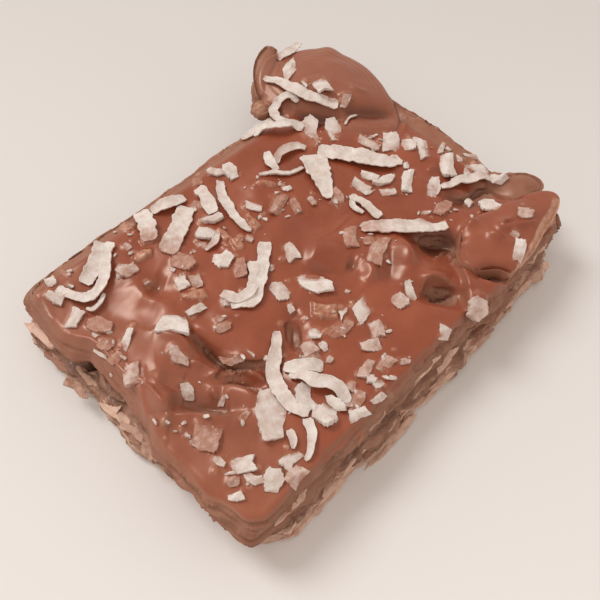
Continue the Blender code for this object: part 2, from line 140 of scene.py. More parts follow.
def seen_on(x, y, above=0.0):
    """The place that a pixel shows, at a rise above whatever of the stack lies there."""
    hits = [tree.ray_cast(Vector(EYE), Vector(sight(x, y))) for tree in stack]
    levels = [(distance, place.z) for place, _, _, distance in hits if place is not None]
    level = max(min(levels)[1], LOWEST_SEEN) if levels else TOPPING_TOP
    return seen_at(x, y, level + above)


print("the middle of the picture shows", seen_at(300, 300, 0.0).round(1), "on the floor")

# %% [markdown]
# ## Light
#
# Soft daylight comes from beyond the bar's back edge, half way up the sky, and a bright
# surrounding fills the shadows. The lamp is large, so its shadow has a soft edge, and it is
# also what the glossy waves of the chocolate mirror as broad pale streaks.

# %% Lamp and surrounding
WINDOW = dict(heading=102.0, elevation=48.0, distance=1500.0, size=640.0, energy=11.0)
SKY_COLOUR = (1.0, 0.86, 0.77)
SKY_STRENGTH = 0.74


def along(heading):
    angle = math.radians(heading)
    return Vector((math.cos(angle), math.sin(angle), 0.0))


def place_lamp(name, heading, elevation, distance, size, energy):
    lamp = bpy.data.lights.new(name, "AREA")
    lamp.shape = "DISK"
    lamp.size = size * MM
    lamp.energy = energy
    lamp.color = (1.0, 0.99, 0.97)
    obj = bpy.data.objects.new(name, lamp)
    rise = math.radians(elevation)
    away = along(heading) * math.cos(rise) + Vector((0.0, 0.0, math.sin(rise)))
    obj.location = away * distance * MM
    obj.rotation_euler = away.to_track_quat("Z", "Y").to_euler()
    bpy.context.scene.collection.objects.link(obj)


place_lamp("window", **WINDOW)
world = bpy.context.scene.world or bpy.data.worlds.new("daylight")
bpy.context.scene.world = world
world.use_nodes = True
world.node_tree.nodes["Background"].inputs["Color"].default_value = (*SKY_COLOUR, 1.0)
world.node_tree.nodes["Background"].inputs["Strength"].default_value = SKY_STRENGTH
bpy.context.scene.view_settings.view_transform = "Standard"
print("lamp", WINDOW["energy"], "W, sky", SKY_STRENGTH)

# %% [markdown]
# ## Shader groups
#
# Chocolate, coconut and the nut layer all have fine grain, and all have soft patches where
# one colour gives way to another. Each effect is a node group, built once and placed in
# every material with its own sizes. The groups give only values that change over the
# surface. The shaders themselves stay in the materials.

# %% Helpers for node trees
def node(tree, kind, inputs=None, **settings):
    """Adds a node, sets its properties, and sets or links its inputs."""
    made = tree.nodes.new(kind)
    for key, value in settings.items():
        setattr(made, key, value)
    for key, value in (inputs or {}).items():
        if isinstance(value, bpy.types.NodeSocket):
            tree.links.new(value, made.inputs[key])
        else:
            made.inputs[key].default_value = value
    return made


def socket(tree, name, kind, way="INPUT", value=None):
    made = tree.interface.new_socket(name, in_out=way, socket_type=f"NodeSocket{kind}")
    if value is not None:
        made.default_value = value


def calc(tree, operation, first, second=0.5, third=0.5, clamp=False):
    inputs = {0: first, 1: second, 2: third}
    return node(tree, "ShaderNodeMath", inputs, operation=operation, use_clamp=clamp).outputs[0]


def mask_of(tree, name):
    return node(tree, "ShaderNodeAttribute", attribute_name=name).outputs["Fac"]


# %% The grain group, in two sizes, and the patch group, which covers a given share
def make_grain_group():
    tree = bpy.data.node_groups.new("Grain", "ShaderNodeTree")
    socket(tree, "Vector", "Vector")
    socket(tree, "Scale", "Float", value=900.0)
    socket(tree, "Value", "Float", "OUTPUT")
    socket(tree, "Height", "Float", "OUTPUT")
    given = node(tree, "NodeGroupInput").outputs
    inputs = {"Vector": given[0], "Scale": given[1], "Detail": 4.0, "Roughness": 0.6}
    broad = node(tree, "ShaderNodeTexNoise", inputs).outputs["Fac"]
    inputs = {"Vector": given[0], "Scale": calc(tree, "MULTIPLY", given[1], 3.7), "Detail": 2.0}
    fine = node(tree, "ShaderNodeTexNoise", inputs).outputs["Fac"]
    node(tree, "NodeGroupOutput", {0: broad, 1: calc(tree, "MULTIPLY_ADD", fine, 0.35, broad)})
    return tree


def make_patch_group():
    tree = bpy.data.node_groups.new("Patches", "ShaderNodeTree")
    socket(tree, "Vector", "Vector")
    socket(tree, "Scale", "Float", value=400.0)
    socket(tree, "Cover", "Float", value=0.5)
    socket(tree, "Softness", "Float", value=0.15)
    socket(tree, "Mask", "Float", "OUTPUT")
    given = node(tree, "NodeGroupInput").outputs
    inputs = {"Vector": given[0], "Scale": given[1], "Detail": 5.0, "Roughness": 0.62}
    spread = node(tree, "ShaderNodeTexNoise", inputs).outputs["Fac"]
    centred = calc(tree, "SUBTRACT", spread, 0.5)
    level = calc(tree, "MULTIPLY_ADD", calc(tree, "SUBTRACT", given[2], 0.5), 0.8, centred)
    mask = calc(tree, "ADD", calc(tree, "DIVIDE", level, given[3]), 0.5, clamp=True)
    node(tree, "NodeGroupOutput", {0: mask})
    return tree


GRAIN = make_grain_group()
PATCHES = make_patch_group()
print("groups", [[item.name for item in group.interface.items_tree] for group in (GRAIN, PATCHES)])


def grain(tree, vector, scale):
    return node(tree, "ShaderNodeGroup", {"Vector": vector, "Scale": scale}, node_tree=GRAIN).outputs


def patches(tree, vector, scale, cover, softness=0.15):
    inputs = {"Vector": vector, "Scale": scale, "Cover": cover, "Softness": softness}
    return node(tree, "ShaderNodeGroup", inputs, node_tree=PATCHES).outputs["Mask"]


def mix(tree, share, first, second):
    made = node(tree, "ShaderNodeMix", data_type="RGBA")
    for index, value in {0: share, 6: first, 7: second}.items():
        if isinstance(value, bpy.types.NodeSocket):
            tree.links.new(value, made.inputs[index])
        else:
            made.inputs[index].default_value = (*value, 1.0) if index else value
    return made.outputs[2]


def material(name, specular=0.5):
    made = bpy.data.materials.new(name)
    made.use_nodes = True
    tree = made.node_tree
    shader = tree.nodes["Principled BSDF"]
    shader.inputs["Specular IOR Level"].default_value = specular
    return made, tree, shader, node(tree, "ShaderNodeTexCoord").outputs["Object"]


def finish_shader(tree, shader, colour, roughness, height, strength, distance):
    tree.links.new(colour, shader.inputs["Base Color"])
    tree.links.new(roughness, shader.inputs["Roughness"])
    inputs = {"Height": height, "Strength": strength, "Distance": distance * MM}
    tree.links.new(node(tree, "ShaderNodeBump", inputs).outputs["Normal"], shader.inputs["Normal"])


# %% [markdown]
# ## Milk chocolate
#
# Set milk chocolate is a warm brown with a soft gloss. Where it lies as a thin film over
# coconut, the pale coconut shows through in grainy patches. Where it was spread thin, cut or
# torn, it is duller and paler. In valleys, gaps and grooves, and on the lobe, the ear, the bump
# and the far edge, its colour is painted darker as painted shade. The mesh carries all of this
# as attributes.

# %% Chocolate
CHOCOLATE_DARK = (0.215, 0.045, 0.020)
CHOCOLATE_MID = (0.325, 0.080, 0.037)
# The darkest brown is painted shade, for valleys, gaps, grooves and shaded slopes.
CHOCOLATE_PAINTED_SHADE = (0.115, 0.030, 0.015)
CHOCOLATE_BLOOM = (0.37, 0.180, 0.115)
CHOCOLATE_TORN = (0.31, 0.158, 0.103)
FILM_COLOUR = (0.56, 0.31, 0.215)


def make_chocolate():
    made, tree, shader, coords = material("milk_chocolate", 0.7)
    shader.inputs["Specular Tint"].default_value = (1.0, 0.84, 0.72, 1.0)
    broad = patches(tree, coords, scale=130.0, cover=0.55, softness=0.5)
    colour = mix(tree, broad, CHOCOLATE_DARK, CHOCOLATE_MID)
    # Painted shade: the colour darkens where the mesh marks shade.
    colour = mix(tree, mask_of(tree, "hollow"), colour, CHOCOLATE_PAINTED_SHADE)
    clouds = patches(tree, coords, scale=420.0, cover=0.5, softness=0.5)
    cloudy = calc(tree, "MULTIPLY_ADD", clouds, 0.5, 0.5)
    bloom = calc(tree, "MULTIPLY", mask_of(tree, "bloom"), cloudy)
    colour = mix(tree, bloom, colour, CHOCOLATE_BLOOM)
    torn = mask_of(tree, "torn")
    colour = mix(tree, calc(tree, "MULTIPLY", torn, 0.9), colour, CHOCOLATE_TORN)
    specks = patches(tree, coords, scale=1000.0, cover=0.5, softness=0.22)
    speckle = calc(tree, "MULTIPLY_ADD", specks, 0.85, 0.15)
    film = calc(tree, "MULTIPLY", mask_of(tree, "film"), speckle, clamp=True)
    colour = mix(tree, film, colour, FILM_COLOUR)
    gloss = calc(tree, "MULTIPLY_ADD", grain(tree, coords, scale=260.0)["Value"], 0.2, 0.2)
    duller = calc(tree, "MULTIPLY_ADD", torn, 0.28, gloss)
    duller = calc(tree, "MULTIPLY_ADD", bloom, 0.16, duller)
    rough = calc(tree, "ADD", torn, calc(tree, "MULTIPLY_ADD", mask_of(tree, "film"), 0.9, 0.05))
    relief = calc(tree, "MULTIPLY", grain(tree, coords, scale=750.0)["Height"], rough)
    finish_shader(tree, shader, colour, duller, relief, strength=0.6, distance=0.2)
    return made


CHOCOLATE = make_chocolate()
print(CHOCOLATE.name, len(CHOCOLATE.node_tree.nodes), "nodes")

# %% [markdown]
# ## Dried coconut
#
# Coconut is nearly white, matte and a little see-through, with a warm tinge that varies in
# grainy patches. Chocolate smears its lower edges, and covers some pieces wholly or in part.
# The mesh tells how near each point is to the chocolate, so that the smear follows the
# contact, and how much of a coat each piece has.

# %% Coconut
COCONUT_PALE = (0.77, 0.735, 0.700)
COCONUT_WARM = (0.52, 0.385, 0.320)
SMEAR_COLOUR = (0.34, 0.140, 0.090)
COAT_PALE = (0.52, 0.285, 0.205)


def make_coconut():
    made, tree, shader, coords = material("coconut", 0.3)
    shader.inputs["Subsurface Weight"].default_value = 0.08
    shader.inputs["Subsurface Radius"].default_value = (0.9, 0.55, 0.4)
    shader.inputs["Subsurface Scale"].default_value = 0.6 * MM
    mottled = patches(tree, coords, scale=750.0, cover=0.44, softness=0.35)
    tint = calc(tree, "MULTIPLY", mask_of(tree, "tint"), 0.8)
    tinted = calc(tree, "MULTIPLY_ADD", mottled, 0.62, tint, clamp=True)
    colour = mix(tree, tinted, COCONUT_PALE, COCONUT_WARM)
    worn = calc(tree, "SUBTRACT", patches(tree, coords, scale=650.0, cover=0.5, softness=0.5), 1.0)
    coated = calc(tree, "MULTIPLY_ADD", mask_of(tree, "coat"), 1.9, worn, clamp=True)
    specks = patches(tree, coords, scale=1300.0, cover=0.5, softness=0.4)
    film = mix(tree, specks, COAT_PALE, SMEAR_COLOUR)
    colour = mix(tree, calc(tree, "MULTIPLY", coated, 0.92), colour, film)
    edge = calc(tree, "MULTIPLY_ADD", mask_of(tree, "contact"), 1.7, -0.75, clamp=True)
    smears = patches(tree, coords, scale=1300.0, cover=0.62, softness=0.4)
    smeared = calc(tree, "MULTIPLY", edge, smears, clamp=True)
    colour = mix(tree, smeared, colour, SMEAR_COLOUR)
    fibre = grain(tree, coords, scale=1200.0)
    gloss = calc(tree, "MULTIPLY_ADD", fibre["Value"], 0.25, 0.42)
    finish_shader(tree, shader, colour, gloss, fibre["Height"], strength=0.6, distance=0.16)
    return made


COCONUT = make_coconut()
print(COCONUT.name, len(COCONUT.node_tree.nodes), "nodes")

# %% [markdown]
# ## The nut and coconut layer
#
# The lower layer is chocolate set with chopped nuts and coconut. Its cut sides are torn, so
# they are matte, grey-brown and crumbly, with pale pinkish coconut in streaks that run
# along the layer. Its lower part is painted paler, with more of the pale streaks: painted
# light on a part that lies in shade.

# %% Nut layer, and the strips that show in it
# The darkest colour is painted shade, for the crevice under the slab and the grooves.
LAYER_PAINTED_SHADE = (0.085, 0.040, 0.025)
LAYER_DARK = (0.17, 0.078, 0.048)
LAYER_MID = (0.40, 0.210, 0.140)
LAYER_PALE = (0.62, 0.41, 0.31)
STRIP_PALE = (0.82, 0.58, 0.455)
STRIP_BROWN = (0.34, 0.165, 0.108)
STREAK_STRETCH = (0.18, 0.18, 1.3)
PALER_BELOW = 3.2


def make_nut_layer():
    made, tree, shader, coords = material("nut_and_coconut_layer", 0.4)
    inputs = {"Vector": coords, "Scale": STREAK_STRETCH}
    flat = node(tree, "ShaderNodeMapping", inputs).outputs["Vector"]
    bands = patches(tree, flat, scale=1000.0, cover=0.5, softness=0.25)
    colour = mix(tree, bands, LAYER_DARK, LAYER_MID)
    # Painted light: below a height the pale streaks cover more, so the shaded lower part is paler.
    height = node(tree, "ShaderNodeSeparateXYZ", {0: coords}).outputs[2]
    painted_light_low = calc(tree, "MULTIPLY_ADD", height, -1.0 / (PALER_BELOW * MM), 1.0, clamp=True)
    cover = calc(tree, "MULTIPLY_ADD", painted_light_low, 0.4, 0.34)
    streak = calc(tree, "MULTIPLY", patches(tree, flat, scale=1700.0, cover=cover, softness=0.10), 0.85)
    colour = mix(tree, streak, colour, LAYER_PALE)
    # Painted shade: darker in the crevice under the slab and in the grooves between ledges.
    colour = mix(tree, mask_of(tree, "hollow"), colour, LAYER_PAINTED_SHADE)
    crumb = grain(tree, coords, scale=800.0)
    gloss = calc(tree, "MULTIPLY_ADD", crumb["Value"], 0.3, 0.38)
    finish_shader(tree, shader, colour, gloss, crumb["Height"], strength=0.6, distance=0.2)
    return made


def make_strip_material():
    made, tree, shader, coords = material("side_strip", 0.35)
    smear = patches(tree, coords, scale=700.0, cover=0.36, softness=0.35)
    browned = calc(tree, "MULTIPLY_ADD", smear, 0.6, mask_of(tree, "coat"), clamp=True)
    colour = mix(tree, browned, STRIP_PALE, STRIP_BROWN)
    fibre = grain(tree, coords, scale=900.0)
    gloss = calc(tree, "MULTIPLY_ADD", fibre["Value"], 0.3, 0.4)
    finish_shader(tree, shader, colour, gloss, fibre["Height"], strength=0.5, distance=0.16)
    return made


NUT_LAYER = make_nut_layer()
SIDE_STRIP = make_strip_material()
print("materials", [m.name for m in (CHOCOLATE, COCONUT, NUT_LAYER, SIDE_STRIP)])

# %% [markdown]
# ## Noise and meshes in numbers
#
# The crags and ripples are added to thousands of points at once. A lattice of random
# numbers, read with smooth steps between its corners, gives the same noise on every run.

# %% Noise and smooth lines
SEED = 27
LATTICE_SIZE = 32
LATTICE = np.random.default_rng(SEED).random((LATTICE_SIZE,) * 3) * 2.0 - 1.0
TURN = np.array([[0.8, 0.6, 0.0], [-0.6, 0.8, 0.0], [0.0, 0.0, 1.0]])


def smooth(x):
    x = np.clip(x, 0.0, 1.0)
    return x * x * (3.0 - 2.0 * x)


def ripple(points, size, shift=0.0):
    """Noise from -1 to 1 at each point; size is that of its bumps, for all axes or for each."""
    spot = points / np.asarray(size, float) + shift
    cell = np.floor(spot).astype(int)
    part = smooth(spot - cell)
    total = np.zeros(len(points))
    for corner in itertools.product((0, 1), repeat=3):
        weight = np.prod(np.where(corner, part, 1.0 - part), axis=1)
        index = (cell + corner) % LATTICE_SIZE
        total += weight * LATTICE[index[:, 0], index[:, 1], index[:, 2]]
    return total


def ripples(points, size, shift=0.0):
    """Two octaves of the noise, turned against each other so that no lattice shows."""
    finer = ripple(points @ TURN.T, np.asarray(size) * 0.47, shift + 7.3)
    return 0.65 * ripple(points, size, shift) + 0.45 * finer


def smooth_line(points, step, closed=False):
    """Evenly spaced points on a smooth curve through the given ones."""
    given = np.array(points, float)
    before = given[-1:] if closed else 2 * given[:1] - given[1:2]
    after = given[:2] if closed else 2 * given[-1:] - given[-2:-1]
    padded = np.vstack([before, given, after])
    t = np.linspace(0.0, 1.0, 13)[:-1, None]
    dense = []
    for a, b, c, d in zip(padded, padded[1:], padded[2:], padded[3:]):
        curve = (c - a) * t + (2 * a - 5 * b + 4 * c - d) * t**2 + (3 * b - a - 3 * c + d) * t**3
        dense.append(b + 0.5 * curve)
    dense = np.vstack(dense + [given[:1] if closed else given[-1:]])
    passed = np.append(0.0, np.cumsum(np.linalg.norm(np.diff(dense, axis=0), axis=1)))
    spots = np.linspace(0.0, passed[-1], max(4, round(passed[-1] / step)) + 1)
    line = np.column_stack([np.interp(spots, passed, column) for column in dense.T])
    return line[:-1] if closed else line


# %% Objects from points in millimetres
def link_mesh(name, points, faces, edges=()):
    mesh = bpy.data.meshes.new(name)
    mesh.from_pydata(np.asarray(points, float).tolist(), edges, faces)
    mesh.update()
    obj = bpy.data.objects.new(name, mesh)
    bpy.context.scene.collection.objects.link(obj)
    return obj


def read_points(mesh, what="co"):
    """The places of a mesh's points, or the normals there."""
    source = mesh.vertices if what == "co" else mesh.vertex_normals
    flat = np.empty(len(source) * 3, np.float32)
    source.foreach_get(what, flat)
    return flat.reshape(-1, 3).astype(float)


def set_points(mesh, points):
    mesh.vertices.foreach_set("co", np.asarray(points, np.float32).ravel())
    mesh.update()


def store(mesh, name, values, kind="FLOAT"):
    made = mesh.attributes.new(name, kind, "POINT")
    values = np.asarray(values, np.int32 if kind == "INT" else np.float32)
    made.data.foreach_set("vector" if kind == "FLOAT_VECTOR" else "value", values.ravel())


def tree_of(mesh):
    faces = [face.vertices for face in mesh.polygons]
    return BVHTree.FromPolygons([vert.co for vert in mesh.vertices], faces)


TOPPING = dict(slot="milk_chocolate", replaced="chocolate_topping")
LOWER_LAYER = dict(slot="nut_and_coconut_layer", replaced="coconut_nut_base")
CRISP_ANGLE = 38.0


def finish_piece(obj, name, finish, slot, replaced, crisp=None):
    """Scales the mesh to metres, shades it, keeps edges crisp from an angle on, and hangs it."""
    obj.name = obj.data.name = name
    obj.data.transform(Matrix.Scale(MM, 4))
    obj.data.materials.clear()
    obj.data.materials.append(finish)
    obj.data.shade_smooth()
    if crisp:
        obj.data.set_sharp_from_angle(angle=math.radians(crisp))
    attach(obj, "root")
    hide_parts(replaced)
    obj.data.calc_loop_triangles()
    print(name, len(obj.data.loop_triangles), "triangles")


# %% [markdown]
# ## The slab's forms
#
# These are the same named sizes as the solid's: the plan of each layer, the profile of its
# side, where an edge swells, and the waves of the top. The rings that they give are finer
# here. A ring of points runs round the edge at each height, and on the top the rings shrink
# towards the middle.

# %% Sizes of the two layers, in millimetres
BASE_TOP = 4.5
TOPPING_BOTTOM = 4.8
TOPPING_PLAN = dict(x=0.4, y=0.2, half_x=35.9, half_y=24.5, corner=2.6)
BASE_PLAN = dict(x=-0.6, y=-0.8, half_x=36.6, half_y=25.2, corner=4.0)
FRONT_SLANT = 0.27
BASE_SIDE = [(0, -0.7), (0.35, 0.1), (1.2, 0.35), (1.7, -0.55)]
BASE_SIDE += [(2.3, 0.15), (3.2, -0.1), (3.8, -0.95), (BASE_TOP, -1.3)]
TOPPING_SIDE = [(TOPPING_BOTTOM, -0.9), (5.5, 0.0), (6.6, 0.1), (7.8, 0.45), (9.3, 0.35), (10.0, -0.1)]
FRONT_FROM = -20.0
SMOOTH_SIDE = 0.35
TORN_CORNER = dict(x=-36.0, y=-17.0, spread=60.0)

# Unevenness of a cut side: how often it changes along the side and with height, and its reach.
RAGGED_WAVES = ((0.16, 0.3, 0.8), (0.55, 1.1, 0.7))

# Where an edge swells out (or draws in, when negative): x, y, width, reach.
TOPPING_BULGES = [(-36, -8, 11, 1.1), (-34, 22, 4, -0.6), (16, -24.5, 5, 1.3)]
TOPPING_BULGES += [(37, 2, 8, 0.9), (38, -14.4, 2.6, 3.4), (36, -9.5, 3, -0.8)]
BASE_BULGES = [(-37, -15.5, 6.5, -1.6), (-36.5, -25.5, 4, -2.4), (-36, 23, 6, 0.5), (-10, -26, 3.2, 1.0)]
BASE_BULGES += [(8, -26, 9, 0.8), (28, -26, 8, 0.2), (38, -26, 6, -1.4), (33, 24, 9, -1.6)]

# Waves of the chocolate: x, y, half length, half width, heading in degrees, rise.
WAVES = [
    (-28, 13.5, 8, 5, -35, -1.0), (-33, -2.5, 5, 2, -70, 0.7), (-27.5, -6.5, 5.5, 3.2, -50, -1.3),
    (-30, -10.5, 6.5, 1.3, -45, 0.8), (-22.5, -3, 3.5, 2.4, -40, -0.9), (-20.5, -9.5, 5, 2.2, -50, -1.2),
    (-15, -9, 3, 5, -50, -1.0), (-2, 4, 6, 4, -50, 0.7), (2, 13.5, 5, 3.5, 30, 0.8),
    (6.5, 2.5, 5, 4, -20, -0.8), (10.5, -10.5, 4, 4, 40, 0.9), (16, -15, 6, 2.8, -65, -1.7),
    (9, -19.5, 4, 1.6, -70, -1.3), (2, -19, 6, 3, -40, 0.5), (31.5, 12.5, 5, 3.6, -60, -1.8),
    (31, -9, 7, 2.2, -55, -1.2), (33.5, 1.5, 6, 3, -80, -0.6), (-12, 20, 9, 3, 0, -0.5),
]


# %% Waves, plan outlines and side profiles
def humps(points, x, y, half_long, half_wide, heading):
    """A smooth mound: 1 at its middle, falling away over its half length and half width."""
    forward, across = along(heading), along(heading + 90.0)
    offset = points[:, :2] - (x, y)
    lengthways = offset @ np.array(forward[:2]) / half_long
    sideways = offset @ np.array(across[:2]) / half_wide
    return np.exp(-(lengthways**2) - sideways**2)


def top_height(points):
    """The height of the chocolate's top surface, waves and ripples included."""
    waves = sum(rise * humps(points, *shape) for *shape, rise in WAVES)
    slow = [noise.noise(Vector((x * 0.22, y * 0.22, 0.0))) for x, y in points[:, :2]]
    return TOPPING_TOP + waves + 0.22 * np.array(slow)


def rounded_rectangle(plan, count):
    """Points spaced evenly round a rounded rectangle, each with its outward direction."""
    radius = plan["corner"]
    straight_x = plan["half_x"] - radius
    straight_y = plan["half_y"] - radius
    arc = radius * math.pi / 2
    legs = [2 * straight_y, arc, 2 * straight_x, arc]
    corners = [(1, 1), (-1, 1), (-1, -1), (1, -1)]
    places, outwards = [], []
    for index in range(count):
        distance = 2 * sum(legs) * index / count
        quarter = 0
        while distance > legs[(2 * quarter) % 4] + arc:
            distance -= legs[(2 * quarter) % 4] + arc
            quarter += 1
        straight = legs[(2 * quarter) % 4]
        side, ahead = along(90.0 * quarter), along(90.0 * quarter + 90.0)
        corner = Vector((corners[quarter][0] * straight_x, corners[quarter][1] * straight_y, 0.0))
        turn = max(0.0, distance - straight) / radius
        outward = side * math.cos(turn) + ahead * math.sin(turn)
        place = corner + outward * radius - ahead * max(0.0, straight - distance)
        places.append(place + Vector((plan["x"], plan["y"], 0.0)))
        outwards.append(outward)
    return np.array(places), np.array(outwards)


def round_patch(points, x, y, spread):
    """1 at a place in plan, falling away round it; spread is the square of its reach."""
    return np.exp(-((points[:, 0] - x) ** 2 + (points[:, 1] - y) ** 2) / spread)


def swell(places, bulges):
    """How far the edge stands out at each place, from all the bulges near it."""
    total = np.zeros(len(places))
    for x, y, width, reach in bulges:
        total += reach * round_patch(places, x, y, width**2)
    return total


def raggedness(places, height, roughness, seed):
    """An unevenness of a cut side, which changes along the side and with height."""
    total = np.zeros(len(places))
    for often, level, reach in RAGGED_WAVES:
        spots = [Vector((x * often, y * often, height * level + seed)) for x, y in places[:, :2]]
        total += reach * np.array([noise.noise(spot) for spot in spots])
    return roughness * total


def cut_roughness(places):
    """The chocolate rolls smoothly over the left end; the front and its left corner are torn."""
    torn_front = np.where(places[:, 1] < FRONT_FROM, 1.0, SMOOTH_SIDE)
    return np.maximum(torn_front, 1.2 * round_patch(places, **TORN_CORNER))


def side_rings(places, outwards, side, heights, bulges, roughness, seed):
    rings = []
    for height in heights:
        reach = np.interp(height, *zip(*side))
        slant = FRONT_SLANT * (side[-1][0] - height) * np.maximum(0.0, -outwards[:, 1])
        out = reach + slant + swell(places, bulges) + raggedness(places, height, roughness, seed)
        ring = places + outwards * out[:, None]
        ring[:, 2] = height
        rings.append(ring)
    return rings


def stitched(rings):
    """Points and faces of a tube of rings, with both ends filled."""
    count = len(rings[0])
    faces = []
    for level in range(len(rings) - 1):
        start, above = level * count, (level + 1) * count
        for index in range(count):
            following = (index + 1) % count
            faces.append((start + index, start + following, above + following, above + index))
    faces.append(tuple(range(count - 1, -1, -1)))
    faces.append(tuple(range((len(rings) - 1) * count, len(rings) * count)))
    return np.concatenate(rings), faces


def slab_form(count=420, inset_step=0.45):
    places, outwards = rounded_rectangle(TOPPING_PLAN, count)
    heights = np.arange(TOPPING_BOTTOM, TOPPING_SIDE[-1][0] + 0.01, 0.26)
    rough = cut_roughness(places)
    rings = side_rings(places, outwards, TOPPING_SIDE, heights, TOPPING_BULGES, rough, 9.0)
    medial = TOPPING_PLAN["half_x"] - TOPPING_PLAN["half_y"]
    edge = places + outwards * swell(places, TOPPING_BULGES)[:, None]
    anchor = np.zeros_like(edge)
    anchor[:, 0] = np.clip(edge[:, 0] - TOPPING_PLAN["x"], -medial, medial) + TOPPING_PLAN["x"]
    anchor[:, 1] = TOPPING_PLAN["y"]
    for inset in np.append(np.arange(0.3, 24.2, inset_step), TOPPING_PLAN["half_y"]):
        ring = anchor + (edge - anchor) * (1.0 - inset / TOPPING_PLAN["half_y"])
        ring[:, 2] = top_height(ring)
        rings.append(ring)
    return stitched(rings)


# %% [markdown]
# ## Run-over chocolate
#
# The lobe and the flap are thick sheets of chocolate with a clear edge and a gently domed
# top, so each is made from its outline in the picture. A curled roll, a web that joins it to
# the lobe, and a coated lump stand at the lobe's left. All are joined with the slab and given
# one skin by a voxel remesh, which also rounds every joint as poured chocolate does.

# %% Outlines in pixels, sizes in millimetres
LOBE_OUTLINE = [
    (266, 64), (282, 53), (300, 47), (315, 45), (330, 43.5), (345, 51), (358, 58), (372, 68),
    (382, 79), (390, 91), (396, 103), (400, 113), (397, 127), (380, 132), (350, 128), (320, 121),
    (290, 110), (268, 96), (259, 80),
]
FLAP_OUTLINE = [
    (463, 227), (476, 215), (495, 207), (515, 197), (535, 190), (552, 189), (560, 194), (561, 203),
    (556, 215), (548, 226), (540, 242), (530, 255), (520, 263), (512, 271), (500, 267), (485, 268),
    (473, 271), (464, 265), (459, 257), (461, 240),
]
RIM_LINE = [(552, 194), (549, 207), (539, 223), (529, 245), (522, 257), (513, 266)]
LOBE_SEEN = 11.0
FLAP_SEEN = 11.5
LOBE = dict(low=8.4, edge=10.2, crown=2.2)
FLAP = dict(low=8.7, edge=11.3, crown=0.6)
LOBE_WEB = dict(x=24.0, y=29.6, z=8.4, heading=40.0, long=7.6, out=5.2, inn=5.6, up=1.7, down=2.8)
FINGER = dict(start=(264, 96, 9.6), middle=(264, 68, 10.6), end=(272, 48, 11.2))
FINGER_RADIUS = 2.0
FINGER_FLATNESS = 0.6
BUMP_PIXEL = (524, 183)
BUMP = dict(z=8.8, heading=-52.0, long=3.4, out=2.2, inn=2.4, up=1.5, down=2.4)
LUMP = dict(x=17.4, y=28.0, z=9.2, radius=1.9)
SLAB_VOXEL = 0.27


def outline_of(pixels, height, step=0.5):
    return smooth_line([seen_at(x, y, height)[:2] for x, y in pixels], step, closed=True)


def sheet_form(rim, low, edge, crown):
    """A thick sheet with an upright rim, and a domed top between the rim's edges."""
    middle = rim.mean(axis=0)
    levels = [(0.80, low), (0.95, low + 0.25), (1.0, low + 0.8), (1.0, edge - 0.3), (0.985, edge)]
    levels += [(share, edge + crown * (1.0 - share**2) ** 0.8) for share in np.arange(0.95, 0.02, -0.04)]
    rings = [np.column_stack([middle + (rim - middle) * share, np.full(len(rim), z)]) for share, z in levels]
    return stitched(rings)


def dome_form(x, y, z, heading, long, out, inn, up, down, around=90, levels=36):
    """A flattened, lopsided dome, wider on its outer side."""
    forward, outward = np.array(along(heading)), np.array(along(heading + 90.0))
    turn = 2 * np.pi * np.arange(around) / around
    wide = np.where(np.sin(turn) > 0, out, inn)
    spread = np.outer(long * np.cos(turn), forward) + np.outer(wide * np.sin(turn), outward)
    rings = []
    for tilt in np.linspace(-0.49, 0.49, levels) * np.pi:
        rise = (up if tilt > 0 else down) * math.sin(tilt)
        rings.append(spread * math.cos(tilt) + (x, y, z + rise))
    return stitched(rings)


def finger_form(steps=40, around=24):
    """The flat curled roll at the lobe's left edge, along a curve through three points."""
    start, middle, end = (Vector(seen_at(*FINGER[key])) for key in ("start", "middle", "end"))
    bend = middle * 2 - (start + end) / 2
    rings = []
    for step in range(steps + 1):
        part = step / steps
        place = start * (1 - part) ** 2 + bend * (2 * part * (1 - part)) + end * part**2
        heading = ((bend - start) * (1 - part) + (end - bend) * part).normalized()
        across = heading.cross(Vector((0, 0, 1))).normalized()
        above = across.cross(heading) * FINGER_FLATNESS
        radius = FINGER_RADIUS * (0.45 + 0.55 * math.sin(math.pi * (0.12 + 0.76 * part)))
        turns = [2 * math.pi * index / around for index in range(around)]
        rings.append(np.array([place + (across * math.cos(t) + above * math.sin(t)) * radius for t in turns]))
    return stitched(rings)


def lump_form(x, y, z, radius):
    return dome_form(x, y, z, 0.0, *[radius] * 5, around=40, levels=20)


def joined_skin(name, forms, voxel, rounds):
    """Joins closed forms by a voxel remesh, at their size in millimetres, then smooths the skin."""
    points, faces, start = [], [], 0
    for form_points, form_faces in forms:
        points.append(form_points)
        faces += [tuple(index + start for index in face) for face in form_faces]
        start += len(form_points)
    obj = link_mesh(name, np.concatenate(points), faces)
    remesh = obj.modifiers.new("skin", "REMESH")
    remesh.mode = "VOXEL"
    remesh.voxel_size = voxel
    ease = obj.modifiers.new("ease", "SMOOTH")
    ease.factor = 0.5
    ease.iterations = rounds
    skin = bpy.data.meshes.new_from_object(obj.evaluated_get(bpy.context.evaluated_depsgraph_get()))
    obj.modifiers.clear()
    obj.data = skin
    return obj


lobe_rim = outline_of(LOBE_OUTLINE, LOBE_SEEN)
flap_rim = outline_of(FLAP_OUTLINE, FLAP_SEEN)
forms = [slab_form(), sheet_form(lobe_rim, **LOBE), sheet_form(flap_rim, **FLAP)]
bump_x, bump_y, _ = seen_at(*BUMP_PIXEL, BUMP["z"])
forms += [dome_form(**LOBE_WEB), dome_form(bump_x, bump_y, **BUMP), finger_form(), lump_form(**LUMP)]
slab = joined_skin("slab_skin", forms, SLAB_VOXEL, 4)
stack = [tree_of(slab.data)]
print("slab skin", len(slab.data.vertices), "points")

# %% [markdown]
# ## Where the coconut lies
#
# Chips and shreds are listed here, because the chocolate rises a little under each chip. The
# pixels are those of a chip's two ends and of points along a shred. The widths are in
# millimetres. A coat runs from 0, bare coconut, to 1, hidden under chocolate.

